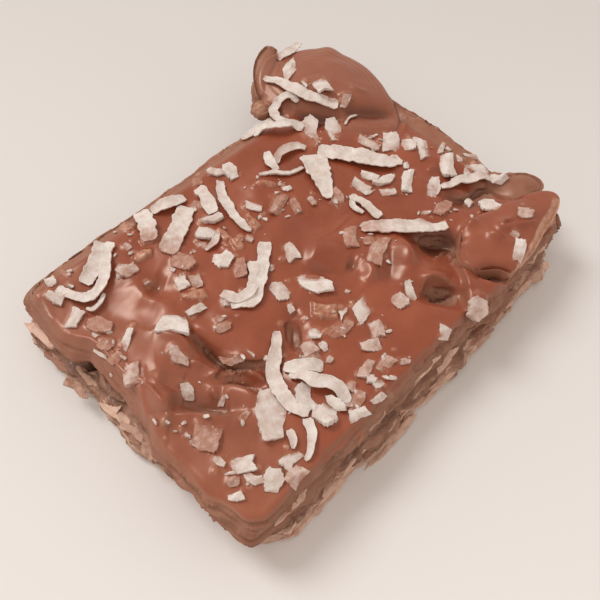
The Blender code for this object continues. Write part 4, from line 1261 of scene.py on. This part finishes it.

# In grooves the paler torn colour is held back, so they stay dark as painted shade.
torn = np.clip(sideways * rough * (0.5 + 0.5 * low), 0.0, 1.0)
torn = np.maximum(torn, 0.5 * left_end * sideways) * (1.0 - 0.7 * groove) * (1.0 - 0.5 * corner)
ear_line = smooth_line([seen_at(*FINGER[key])[:2] for key in ("start", "middle", "end")], 0.7)
ear = smooth((EAR_REACH - np.abs(line_distance(points, ear_line)[0])) / 1.2)
ear *= points[:, 2] > RUN_OVER_ABOVE
rim = np.maximum(on_flap * sideways * smooth((0.5 - normals[:, 2]) / 0.4), smooth(beyond / 0.3))
left_top = 0.25 * smooth((-points[:, 0] - 20.0) / 8.0) * upward
run_over = np.maximum(0.35 * on_lobe, 0.12 * on_flap) * (1.0 - hollow)
bump = round_patch(points, bump_x, bump_y, BUMP_SPREAD) * (1.0 - on_flap)
at_end = np.maximum(0.35 * left_end, 0.9 * corner) * sideways
bloom = np.maximum.reduce([run_over, 1.5 * rim, left_top, at_end, 0.7 * ear, 0.7 * far_edge, 0.6 * bump])
# Painted shade: the lobe, the ear, the far edge and the bump are marked darker, as are deep valleys, the gap
# at the left end and the grooves between ledges.
shade = np.maximum.reduce([0.25 * on_lobe, 0.35 * ear, 0.5 * far_edge, 0.4 * bump])
hollow = np.maximum.reduce([hollow * upward, shade * upward, 0.8 * gap * left_end, 0.8 * groove])
film = np.clip(film * upward + 0.6 * lump, 0.0, 1.0) + 1.7 * smooth(beyond / 0.3)
for name, values in (("film", film), ("torn", torn), ("bloom", bloom), ("hollow", hollow)):
    store(slab.data, name, values)
flatten(slab, TOPPING_BOTTOM, -1)
slab_tree = tree_of(slab.data)
finish_piece(slab, "chocolate_slab", CHOCOLATE, **TOPPING)

# %% [markdown]
# ## The lower layer
#
# It is made as the slab is: rings round its plan, one skin, then ledges. Its sides are
# rougher, and it sticks out past the slab at the left end as a crumbly shelf, with a crevice
# where the slab stands on it.

# %% Nut and coconut base
BASE_ROUGHNESS = 1.3
BASE_VOXEL = 0.245
BASE_LEDGES = ((0.45, 0.5, 5.3, 13.0), (0.25, 0.28, 9.1, 7.0))
CREVICE_WIDTH = 1.7
CREVICE_DEPTH = 2.0


def base_form(count=520):
    places, outwards = rounded_rectangle(BASE_PLAN, count)
    heights = np.append(np.arange(0.0, BASE_TOP - 0.05, 0.18), BASE_TOP)
    rough = np.full(count, BASE_ROUGHNESS)
    return stitched(side_rings(places, outwards, BASE_SIDE, heights, BASE_BULGES, rough, 4.0))


base = joined_skin("base_skin", [base_form()], BASE_VOXEL, 1)
points, normals = read_points(base.data), read_points(base.data, "vector")
sideways = smooth((np.hypot(normals[:, 0], normals[:, 1]) - 0.3) / 0.4) * smooth(points[:, 2] / 0.5)
crags = sum(ledges(points, *sizes) for sizes in BASE_LEDGES)
groove = smooth((GROOVE_LEVEL - crags) / 0.3) * sideways
push_sides(points, normals, sideways * (crags + 0.08 * ripples(points, (2.0, 2.0, 0.5), 8.0)))
span = gap_span(points) * smooth((points[:, 2] - 1.5) / 1.0) * (points[:, 0] < -30.0)
beside = np.flatnonzero(span)
away = np.array([slab_tree.find_nearest(Vector(point))[3] for point in points[beside]])
crevice = np.zeros(len(points))
crevice[beside] = span[beside] * smooth((CREVICE_WIDTH - away) / 0.6)
points[:, 2] = np.clip(points[:, 2] - CREVICE_DEPTH * crevice, 0.0, BASE_TOP)
set_points(base.data, points)
# Painted shade: the crevice and the grooves between ledges are marked darker.
store(base.data, "hollow", np.maximum(crevice, 0.6 * groove))
flatten(base, 0.0, -1)
base_tree = tree_of(base.data)
finish_piece(base, "nut_base", NUT_LAYER, **LOWER_LAYER)

# %% [markdown]
# ## Chips of coconut
#
# Broken flakes lie flat or lean on each other. A few blanks, each with its own outline,
# stand for all of them: a Geometry Nodes tree puts a blank on each point, turned and scaled
# as the point says, makes the copies real, and then bends and roughens them, so that no two
# look the same.

# %% Blanks
def blank_outline(corners, around, draw):
    """The outline with points along its sides, each a little off, and a few nicks."""
    corners = np.array(corners + corners[:1])
    passed = np.append(0.0, np.cumsum(np.linalg.norm(np.diff(corners, axis=0), axis=1)))
    spots = np.linspace(0.0, passed[-1], around + 1)[:-1]
    line = np.column_stack([np.interp(spots, passed, column) for column in corners.T])
    nicks = [draw.uniform(-0.05, 0.04) - (0.10 if draw.random() < 0.12 else 0.0) for _ in range(around)]
    return line * (1.0 + np.array(nicks))[:, None]


def make_blanks(name, outlines, draw, around=44):
    """Flakes one unit long, wide and thick, with crisp edges and a faintly ridged top."""
    collection = bpy.data.collections.new(name)
    bpy.context.scene.collection.children.link(collection)
    levels = ((0.92, 0.0), (1.0, 0.1), (1.0, 0.9), (0.975, 1.0), (0.8, 1.0), (0.5, 1.0), (0.2, 1.0))
    for index, corners in enumerate(outlines):
        line = blank_outline(corners, around, draw)
        slope = np.array([draw.uniform(-1.2, 1.2), draw.uniform(-1.2, 1.2)])
        rings = []
        for share, height in levels:
            flat = line * share
            ridge = np.where(height > 0.5, np.minimum(0.6, 0.9 * np.abs(flat @ slope)), 0.0)
            rings.append(np.column_stack([flat, height - ridge]))
        blank = link_mesh(f"{name}_{index:02d}", *stitched(rings))
        bpy.context.scene.collection.objects.unlink(blank)
        collection.objects.link(blank)
    return collection


# %% The tree that lays copies on points
def tree_of_geometry(name):
    tree = bpy.data.node_groups.new(name, "GeometryNodeTree")
    tree.is_modifier = True
    socket(tree, "Geometry", "Geometry")
    socket(tree, "Geometry", "Geometry", "OUTPUT")
    return tree


def uneven(tree, geometry, size, amount, seed):
    """Moves every point by noise, of a size and an amount in millimetres."""
    place = node(tree, "GeometryNodeInputPosition").outputs["Position"]
    inputs = {"Vector": place, "W": seed, "Scale": calc(tree, "DIVIDE", 1.0, size), "Detail": 2.0}
    wave = node(tree, "ShaderNodeTexNoise", inputs, noise_dimensions="4D").outputs["Color"]
    inputs = {0: wave, 1: (0.5, 0.5, 0.5)}
    centred = node(tree, "ShaderNodeVectorMath", inputs, operation="SUBTRACT").outputs[0]
    inputs = {0: centred, "Scale": amount}
    offset = node(tree, "ShaderNodeVectorMath", inputs, operation="SCALE").outputs[0]
    inputs = {"Geometry": geometry, "Offset": offset}
    return node(tree, "GeometryNodeSetPosition", inputs).outputs["Geometry"]


def named(tree, name, kind="FLOAT"):
    return node(tree, "GeometryNodeInputNamedAttribute", {"Name": name}, data_type=kind).outputs["Attribute"]


UNEVENNESS = {"Bend Size": 2.4, "Bend": 0.6, "Crumb Size": 0.5, "Crumb": 0.2, "Seed": 3.0}


def shared_inputs(tree):
    for name, value in UNEVENNESS.items():
        socket(tree, name, "Float", value=value)
    socket(tree, "Finish", "Material")


def bend_and_finish(tree, geometry, given):
    """The last steps of the trees: make the copies real, bend and roughen them, give a material."""
    body = node(tree, "GeometryNodeRealizeInstances", {"Geometry": geometry}).outputs["Geometry"]
    body = uneven(tree, body, given["Bend Size"], given["Bend"], given["Seed"])
    body = uneven(tree, body, given["Crumb Size"], given["Crumb"], given["Seed"])
    inputs = {"Geometry": body, "Material": given["Finish"]}
    body = node(tree, "GeometryNodeSetMaterial", inputs).outputs["Geometry"]
    node(tree, "NodeGroupOutput", {"Geometry": body})
    return tree


def blanks_of(tree, given):
    inputs = {"Collection": given["Blanks"], "Separate Children": True, "Reset Children": True}
    return node(tree, "GeometryNodeCollectionInfo", inputs).outputs["Instances"]


def make_laying_tree():
    tree = tree_of_geometry("Lay Pieces")
    socket(tree, "Blanks", "Collection")
    shared_inputs(tree)
    given = node(tree, "NodeGroupInput").outputs
    inputs = {"Euler": named(tree, "turn", "FLOAT_VECTOR")}
    turn = node(tree, "FunctionNodeEulerToRotation", inputs).outputs["Rotation"]
    laid = node(tree, "GeometryNodeInstanceOnPoints", {
        "Points": given["Geometry"], "Instance": blanks_of(tree, given), "Pick Instance": True,
        "Instance Index": named(tree, "kind", "INT"), "Rotation": turn,
        "Scale": named(tree, "size", "FLOAT_VECTOR")}).outputs["Instances"]
    return bend_and_finish(tree, laid, given)


def apply_tree(obj, tree, **inputs):
    """Runs a Geometry Nodes tree on an object and keeps the result as its plain mesh."""
    modifier = obj.modifiers.new("made by nodes", "NODES")
    modifier.node_group = tree
    for item in tree.interface.items_tree:
        key = item.name.replace(" ", "_")
        if item.item_type == "SOCKET" and item.in_out == "INPUT" and key in inputs:
            modifier[item.identifier] = inputs[key]
    made = bpy.data.meshes.new_from_object(obj.evaluated_get(bpy.context.evaluated_depsgraph_get()))
    obj.modifiers.clear()
    obj.data = made
    return obj


# %% Laying chips on the ground of whatever already lies there
CHIP_THICK = 0.62
CHIP_SINK = 0.10
COAT_SINK = 0.25
REST_REACH = 0.34
DEEPEST_REST = 1.2
LOOSE_LEAN = 0.34
ABOVE_ALL = 30.0
DOWN = Vector((0.0, 0.0, -1.0))
stack = [base_tree, slab_tree]


def level_under(tree, x, y):
    """The height of a surface under a place, or None where it doesn't reach."""
    place, _, _, _ = tree.ray_cast(Vector((x, y, ABOVE_ALL)), DOWN)
    return None if place is None else place.z


def ground(x, y):
    """The height of the highest thing of the stack under a place."""
    levels = [level_under(tree, x, y) for tree in stack]
    return max([level for level in levels if level is not None], default=0.0)


def lay_chip(x0, y0, x1, y1, width, kind, coat, draw):
    """Place, turn, size and looks of a chip that rests on five points of the ground."""
    thick = CHIP_THICK * draw.uniform(0.7, 1.5) * min(1.0, 0.5 + 0.3 * width)
    middle, length, heading = chip_frame(x0, y0, x1, y1, 0.6 * thick)
    forward, across, upright = along(heading), along(heading + 90.0), Vector((0.0, 0.0, 1.0))
    rest = []
    for ahead, aside in ((0, 0), (1, 0), (-1, 0), (0, 1), (0, -1)):
        spot = forward * (ahead * REST_REACH * length) + across * (aside * REST_REACH * width)
        rest.append(ground(middle[0] + spot.x, middle[1] + spot.y))
    rest = np.maximum(rest, max(rest) - DEEPEST_REST)
    lean = LOOSE_LEAN * (1.0 - coat)
    slopes = (rest[1] - rest[2]) / (2 * REST_REACH * length), (rest[3] - rest[4]) / (2 * REST_REACH * width)
    pitch, bank = (np.clip(slope, -0.5, 0.5) + draw.uniform(-lean, lean) for slope in slopes)
    axis = (forward + upright * pitch).normalized()
    normal = axis.cross(across + upright * bank).normalized()
    turn = Matrix((axis, normal.cross(axis), normal)).transposed().to_euler()
    place = (middle[0], middle[1], float(np.mean(rest)) - CHIP_SINK - COAT_SINK * coat)
    return place, tuple(turn), (length, width, thick), kind, coat, draw.uniform(0.0, 0.35)


SPOT_VALUES = {"turn": "FLOAT_VECTOR", "size": "FLOAT_VECTOR", "kind": "INT"}
SPOT_VALUES |= {"coat": "FLOAT", "tint": "FLOAT"}


def link_spots(name, spots):
    """One point for each piece, with all that the tree and the material read."""
    obj = link_mesh(name, [spot[0] for spot in spots], [])
    for (key, kind), column in zip(SPOT_VALUES.items(), list(zip(*spots))[1:]):
        store(obj.data, key, column, kind)
    return obj


def contact_mask(mesh, far=0.6):
    """1 where a point touches the chocolate, falling to 0 at the given distance from it."""
    near = [slab_tree.find_nearest(Vector(point))[3] for point in read_points(mesh)]
    store(mesh, "contact", np.maximum(0.0, 1.0 - np.array(near) / far))


LAYING = make_laying_tree()
draw = random.Random(SEED)
chip_blanks = make_blanks("chip_blank", OUTLINES, draw)


def lay_chips(name, chips, seed):
    obj = link_spots(name, [lay_chip(*chip, draw) for chip in chips])
    apply_tree(obj, LAYING, Blanks=chip_blanks, Bend=0.7, Crumb=0.22, Seed=seed, Finish=COCONUT)
    stack.append(tree_of(obj.data))
    contact_mask(obj.data)
    finish_piece(obj, name, COCONUT, **TOPPING, crisp=CRISP_ANGLE)


lay_chips("coated_chips", [chip for chip in CHIPS if COATED <= chip[6] < HIDDEN_COAT], 5.0)

# %% [markdown]
# ## Shreds of coconut
#
# Each shred is a flat ribbon that follows its own path over the chocolate. The path carries
# the directions across and over the ribbon, its half width and its coat. A second tree
# turns every path into a curve, sweeps a section along it, and puts every point of the
# ribbon where the path's directions say.

# %% Paths
PATH_STEP = 0.22
EASE_WINDOW = 11
SHRED_CLEAR = 0.2
SHRED_WOBBLE = 0.10
WOBBLE_LENGTH = 4.2
SHRED_THICK = 0.36
SHRED_CUP = 1.2


def lay_path(pixels, widths, coats, lift, draw):
    """A path over the ground: it keeps its level where a shred's end passes an edge."""
    rises = 0.3 + lift * np.sin(np.pi * np.linspace(0.0, 1.0, len(pixels)))
    line = smooth_line([seen_on(x, y, rise)[:2] for (x, y), rise in zip(pixels, rises)], PATH_STEP)
    count = len(line)
    length = PATH_STEP * (count - 1)
    part = np.linspace(0.0, 1.0, count)
    lows = np.array([ground(x, y) for x, y in line])
    carried = lows > LOWEST_SEEN
    lows = np.interp(part, part[carried], lows[carried])
    window = np.ones(EASE_WINDOW) / EASE_WINDOW
    eased = np.convolve(np.pad(lows, EASE_WINDOW // 2, mode="edge"), window, "valid")
    wobble = SHRED_WOBBLE * np.sin(2 * np.pi * (part * length / WOBBLE_LENGTH + draw.random()))
    heights = np.maximum(eased, lows - SHRED_CLEAR) + SHRED_CLEAR + lift * np.sin(np.pi * part) + wobble
    spots = np.column_stack([line, heights])
    ahead = np.gradient(spots, axis=0)
    ahead /= np.linalg.norm(ahead, axis=1)[:, None]
    side = np.cross((0.0, 0.0, 1.0), ahead)
    side /= np.linalg.norm(side, axis=1)[:, None]
    over = np.cross(ahead, side)
    roll = np.linspace(draw.uniform(-0.25, 0.25), draw.uniform(-0.25, 0.25), count)[:, None]
    across = side * np.cos(roll) + over * np.sin(roll)
    over = np.cross(ahead, across)
    ends = np.minimum(part, 1.0 - part) * length
    notches = 0.16 * ripple(spots * (1.0, 1.0, 0.0), 0.6, draw.random()) + 0.12 * ripple(spots, 2.1, 1.0)
    half = 0.5 * np.interp(part, (0.0, 0.5, 1.0), widths) * (1.0 + notches)
    half *= 0.72 + 0.28 * smooth(ends / 0.5)
    coat = np.interp(part, (0.25, 1.0) if coats[1] > coats[0] else (0.0, 0.75), coats)
    tint = np.full(count, draw.uniform(0.0, 0.2))
    return dict(spot=spots, across=across, over=over, half=half, coat=coat, tint=tint)


def link_paths(name, paths):
    """All paths as one mesh of edges, with what the tree reads stored on its points."""
    edges, start = [], 0
    for path in paths:
        edges += [(start + step, start + step + 1) for step in range(len(path["half"]) - 1)]
        start += len(path["half"])
    obj = link_mesh(name, np.concatenate([path["spot"] for path in paths]), [], edges)
    for key in paths[0]:
        kind = "FLOAT" if paths[0][key].ndim == 1 else "FLOAT_VECTOR"
        store(obj.data, key, np.concatenate([path[key] for path in paths]), kind)
    return obj


def link_section(name, points=24, squareness=6.0):
    """A closed, nearly square outline from -1 to 1, whose two ends curl up."""
    turn = 2 * np.pi * (np.arange(points) + 0.5) / points
    both = np.column_stack([np.cos(turn), np.sin(turn)])
    both = np.sign(both) * np.abs(both) ** (2 / squareness)
    both[:, 1] += SHRED_CUP * (both[:, 0] ** 2 - 0.4)
    places = np.column_stack([both, np.zeros(points)])
    obj = link_mesh(name, places, [], [(index, (index + 1) % points) for index in range(points)])
    store(obj.data, "section", places, "FLOAT_VECTOR")
    return obj


def make_sweep_tree():
    tree = tree_of_geometry("Sweep Shreds")
    socket(tree, "Section", "Object")
    socket(tree, "Spacing", "Float", value=0.3)
    socket(tree, "Thickness", "Float", value=0.5)
    shared_inputs(tree)
    given = node(tree, "NodeGroupInput").outputs
    curve = node(tree, "GeometryNodeMeshToCurve", {"Mesh": given["Geometry"]}).outputs["Curve"]
    inputs = {"Curve": curve, "Length": given["Spacing"]}
    curve = node(tree, "GeometryNodeResampleCurve", inputs, mode="LENGTH").outputs["Curve"]
    section = node(tree, "GeometryNodeObjectInfo", {"Object": given["Section"]}).outputs["Geometry"]
    ring = node(tree, "GeometryNodeMeshToCurve", {"Mesh": section}).outputs["Curve"]
    inputs = {"Curve": curve, "Profile Curve": ring, "Fill Caps": True}
    swept = node(tree, "GeometryNodeCurveToMesh", inputs).outputs["Mesh"]
    u, v, _ = node(tree, "ShaderNodeSeparateXYZ", {0: named(tree, "section", "FLOAT_VECTOR")}).outputs
    wide = calc(tree, "MULTIPLY", u, named(tree, "half"))
    tall = calc(tree, "MULTIPLY", calc(tree, "MULTIPLY", v, 0.5), given["Thickness"])
    place = named(tree, "spot", "FLOAT_VECTOR")
    for direction, amount in (("across", wide), ("over", tall)):
        inputs = {0: named(tree, direction, "FLOAT_VECTOR"), "Scale": amount}
        step = node(tree, "ShaderNodeVectorMath", inputs, operation="SCALE").outputs[0]
        place = node(tree, "ShaderNodeVectorMath", {0: place, 1: step}, operation="ADD").outputs[0]
    body = node(tree, "GeometryNodeSetPosition", {"Geometry": swept, "Position": place}).outputs["Geometry"]
    return bend_and_finish(tree, body, given)


SWEEP = make_sweep_tree()
section = link_section("shred_section")
shreds = link_paths("shred_paths", [lay_path(*shred, draw) for shred in SHREDS])
apply_tree(shreds, SWEEP, Section=section, Spacing=PATH_STEP, Thickness=SHRED_THICK,
           Bend=0.6, Crumb=0.24, Finish=COCONUT)
stack.append(tree_of(shreds.data))
contact_mask(shreds.data)
finish_piece(shreds, "coconut_shreds", COCONUT, **TOPPING, crisp=CRISP_ANGLE)

# %% The fresh chips lie on top
lay_chips("fresh_chips", [chip for chip in CHIPS if chip[6] < COATED], 9.0)

# %% [markdown]
# ## Crumbs of coconut
#
# Fine bits fell round the larger pieces. A third tree scatters them over the chocolate: the
# mesh it works on is the top of the slab, with an attribute that says how thickly the
# bits lie, and each copy is turned and scaled by its own random draw.

# %% Scattered crumbs
CRUMBS_PER_SQUARE = 0.35
CRUMB_COAT = 0.3


def make_scatter_tree():
    tree = tree_of_geometry("Scatter Crumbs")
    socket(tree, "Blanks", "Collection")
    socket(tree, "Density", "Float", value=1.0)
    socket(tree, "Smallest", "Float", value=0.25)
    socket(tree, "Largest", "Float", value=1.2)
    shared_inputs(tree)
    given = node(tree, "NodeGroupInput").outputs
    density = calc(tree, "MULTIPLY", named(tree, "dusting"), given["Density"])
    inputs = {"Mesh": given["Geometry"], "Density": density, "Seed": 4}
    spread = node(tree, "GeometryNodeDistributePointsOnFaces", inputs).outputs
    inputs = {0: (0.0, 0.0, 0.0), 1: (0.5, 0.5, 6.28)}
    angles = node(tree, "FunctionNodeRandomValue", inputs, data_type="FLOAT_VECTOR").outputs[0]
    spin = node(tree, "FunctionNodeEulerToRotation", {"Euler": angles}).outputs["Rotation"]
    inputs = {"Rotation": spread["Rotation"], "Rotate By": spin}
    turned = node(tree, "FunctionNodeRotateRotation", inputs, rotation_space="LOCAL").outputs["Rotation"]
    inputs = {2: given["Smallest"], 3: given["Largest"]}
    size = node(tree, "FunctionNodeRandomValue", inputs, data_type="FLOAT").outputs[1]
    inputs = {0: size, 1: calc(tree, "MULTIPLY", size, 0.6), 2: calc(tree, "MULTIPLY", size, 0.3)}
    flat = node(tree, "ShaderNodeCombineXYZ", inputs).outputs[0]
    laid = node(tree, "GeometryNodeInstanceOnPoints", {
        "Points": spread["Points"], "Instance": blanks_of(tree, given), "Pick Instance": True,
        "Rotation": turned, "Scale": flat}).outputs["Instances"]
    return bend_and_finish(tree, laid, given)


def top_copy(name):
    """The top faces of the slab in millimetres, with how thickly crumbs lie at each point."""
    bm = bmesh.new()
    bm.from_mesh(slab.data)
    bmesh.ops.delete(bm, geom=[face for face in bm.faces if face.normal.z < 0.75], context="FACES")
    mesh = bpy.data.meshes.new(name)
    bm.to_mesh(mesh)
    bm.free()
    mesh.transform(Matrix.Scale(1 / MM, 4))
    obj = bpy.data.objects.new(name, mesh)
    bpy.context.scene.collection.objects.link(obj)
    places = read_points(mesh)
    dusting = np.zeros(len(places))
    for x0, y0, x1, y1, width, _, coat in CHIPS:
        middle, length, _ = chip_frame(x0, y0, x1, y1)
        away = np.hypot(*(places[:, :2] - middle[:2]).T) / (0.5 * length + 1.0)
        dusting = np.maximum(dusting, (0.3 + 0.7 * coat) * np.exp(-(away**2)))
    store(mesh, "dusting", dusting**2)
    return obj


crumb_blanks = make_blanks("crumb_blank", SPLINTERS + OUTLINES[:2], draw, around=6)
crumbs = top_copy("crumb_ground")
apply_tree(crumbs, make_scatter_tree(), Blanks=crumb_blanks, Density=CRUMBS_PER_SQUARE,
           Bend=0.1, Crumb=0.1, Finish=COCONUT)
for name in ("coat", "tint"):
    store(crumbs.data, name, np.full(len(crumbs.data.vertices), CRUMB_COAT))
contact_mask(crumbs.data, 0.5)
finish_piece(crumbs, "coconut_crumbs", COCONUT, **TOPPING, crisp=CRISP_ANGLE)

# %% [markdown]
# ## Strips in the cut sides
#
# Coconut in the lower layer lies flat, so the cut shows it edge on: thin pale strips, one
# above another, that run along the side and end in points. Above it, the torn front of the
# chocolate has browner ones. The laying tree puts long tapered blanks on points along the
# sides.

# %% Strips
FRONT_ROWS = (0.7, 1.3, 1.9, 2.5, 3.1, 3.7, 4.3, 5.2, 5.8, 6.4, 7.0, 7.6)
FRONT_START, FRONT_END, FRONT_Y = -33.0, 34.0, -25.0
FRONT_LENGTHS = (5.0, 15.0)
SHORTEST_LAST = 3.0
PALE_COATS = (0.0, 0.0, 0.1, 0.3, 0.8)
BROWN_COATS = (0.0, 0.2, 0.6, 1.0, 1.0)
END_ROWS = (0.9, 1.7, 2.5, 3.4)
END_START, END_STOP, LEFT_X = 21.0, -16.0, -37.0
END_LENGTHS = (3.5, 7.0)
END_COATS = (0.2, 0.5, 0.8, 1.0)
OUTSIDE = 14.0
STRIP_STANDS = (0.15, 0.7)
STRIP_TILTS = (-14.0, 4.0)

# Pieces on the shelf at the left end: pixels of their ends, width, thickness, coat.
SHELF_SEEN = 4.2
SHELF = [
    (22, 325, 60, 352, 2.2, 0.8, 0.15), (60, 378, 85, 400, 1.8, 0.7, 0.6),
    (95, 402, 130, 425, 1.6, 0.6, 0.1), (115, 420, 148, 445, 1.6, 0.6, 0.35),
    (138, 445, 155, 462, 2.4, 1.2, 0.45), (165, 450, 175, 460, 1.4, 0.6, 0.4),
]


def lay_strip(x, y, z, heading, inward, length, width, thick, coat, draw):
    """A strip that stands out a little from the side, where a level line from outside meets it."""
    start = Vector((x, y, z)) - inward * OUTSIDE
    hits = [tree.ray_cast(start, inward) for tree in (slab_tree, base_tree)]
    reach = min([hit[3] for hit in hits if hit[0] is not None], default=OUTSIDE)
    place = start + inward * (reach + 0.5 * width - draw.uniform(*STRIP_STANDS))
    tilt = Matrix.Rotation(math.radians(draw.uniform(*STRIP_TILTS)), 3, inward)
    turn = (tilt @ Matrix.Rotation(math.radians(heading), 3, "Z")).to_euler()
    place.z -= 0.5 * thick
    return tuple(place), tuple(turn), (length, width, thick), draw.randrange(3), coat, 0.0


def front_strips(draw):
    strips = []
    for z in FRONT_ROWS:
        x = FRONT_START + 2.0 * draw.random()
        while x < FRONT_END - SHORTEST_LAST:
            length = min(draw.uniform(*FRONT_LENGTHS), FRONT_END - x)
            level = z + draw.uniform(-0.25, 0.25)
            coats = PALE_COATS if z < PALER_BELOW else BROWN_COATS
            looks = (draw.uniform(1.4, 2.2), draw.uniform(0.3, 0.6), draw.choice(coats))
            middle = x + 0.5 * length
            strips.append(lay_strip(middle, FRONT_Y, level, 0.0, Vector((0, 1, 0)), length, *looks, draw))
            x += length * draw.uniform(0.9, 1.3) + draw.choice((0.0, 1.0, 3.0))
    return strips


def end_strips(draw):
    strips = []
    for z in END_ROWS:
        y = END_START - 3.0 * draw.random()
        while y > END_STOP:
            length = draw.uniform(*END_LENGTHS)
            looks = (draw.uniform(1.4, 2.0), draw.uniform(0.35, 0.65), draw.choice(END_COATS))
            middle = y - 0.5 * length
            strips.append(lay_strip(LEFT_X, middle, z, 90.0, Vector((1, 0, 0)), length, *looks, draw))
            y -= length + draw.choice((0.5, 2.5, 5.0))
    return strips


def shelf_strips(draw):
    """Pieces whose tops show at the shelf's height; each lies on the lower layer, or has its top at that
    height where the layer isn't under it.
    """
    strips = []
    for x0, y0, x1, y1, width, thick, coat in SHELF:
        start, end = seen_at(x0, y0, SHELF_SEEN), seen_at(x1, y1, SHELF_SEEN)
        middle, run = (start + end) / 2, end - start
        inward = 0.3 * width
        lie = level_under(base_tree, middle[0] + inward, middle[1])
        rest = SHELF_SEEN - thick if lie is None else lie
        place = (middle[0] + inward, middle[1], min(rest, SHELF_SEEN) - 0.15)
        turn = (0.0, 0.0, math.atan2(run[1], run[0]))
        strips.append((place, turn, (math.hypot(run[0], run[1]), width, thick), draw.randrange(3), coat, 0.0))
    return strips


# %% Strips laid, and eased where they would pass the floor
FLOOR_EASE = 0.5

splinter_blanks = make_blanks("splinter_blank", SPLINTERS, draw)
side_strips = link_spots("strip_spots", front_strips(draw) + end_strips(draw) + shelf_strips(draw))
print(len(side_strips.data.vertices), "strips")
apply_tree(side_strips, LAYING, Blanks=splinter_blanks, Bend=0.6, Crumb=0.2, Seed=8.0, Finish=SIDE_STRIP)
points = read_points(side_strips.data)
pressed = FLOOR_EASE * np.exp(np.minimum(points[:, 2] / FLOOR_EASE - 1.0, 0.0))
points[:, 2] = np.where(points[:, 2] < FLOOR_EASE, pressed, points[:, 2])
set_points(side_strips.data, points)
finish_piece(side_strips, "side_strips", SIDE_STRIP, **LOWER_LAYER, crisp=CRISP_ANGLE)

# %% [markdown]
# ## The floor
#
# A pale surface carries the bar, so that its soft shadow shows. Its colour is painted darker
# towards the far side, as painted shade. It is not part of the object.

# %% Floor
FLOOR_NEAR = (0.840, 0.838, 0.830)
FLOOR_FAR_PAINTED_SHADE = (0.650, 0.648, 0.640)
FLOOR_HEADING = 45.0
FLOOR_SPAN = 150.0


def make_floor(half=900.0):
    corners = [(-half, -half, 0), (half, -half, 0), (half, half, 0), (-half, half, 0)]
    obj = link_mesh("floor", corners, [(0, 1, 2, 3)])
    obj.data.transform(Matrix.Scale(MM, 4))
    made, tree, shader, coords = material("pale_surface", 0.2)
    shader.inputs["Roughness"].default_value = 0.7
    # Painted shade: the floor's colour darkens along this heading.
    away = tuple(along(FLOOR_HEADING) / (FLOOR_SPAN * MM))
    inputs = {0: coords, 1: away}
    distance = node(tree, "ShaderNodeVectorMath", inputs, operation="DOT_PRODUCT").outputs["Value"]
    share = calc(tree, "ADD", distance, 0.5, clamp=True)
    tree.links.new(mix(tree, share, FLOOR_NEAR, FLOOR_FAR_PAINTED_SHADE), shader.inputs["Base Color"])
    obj.data.materials.append(made)
    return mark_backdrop(obj)


make_floor()

# %% The helpers leave the scene
for collection in (chip_blanks, crumb_blanks, splinter_blanks):
    for blank in list(collection.objects):
        bpy.data.objects.remove(blank, do_unlink=True)
    bpy.data.collections.remove(collection)
bpy.data.objects.remove(section, do_unlink=True)
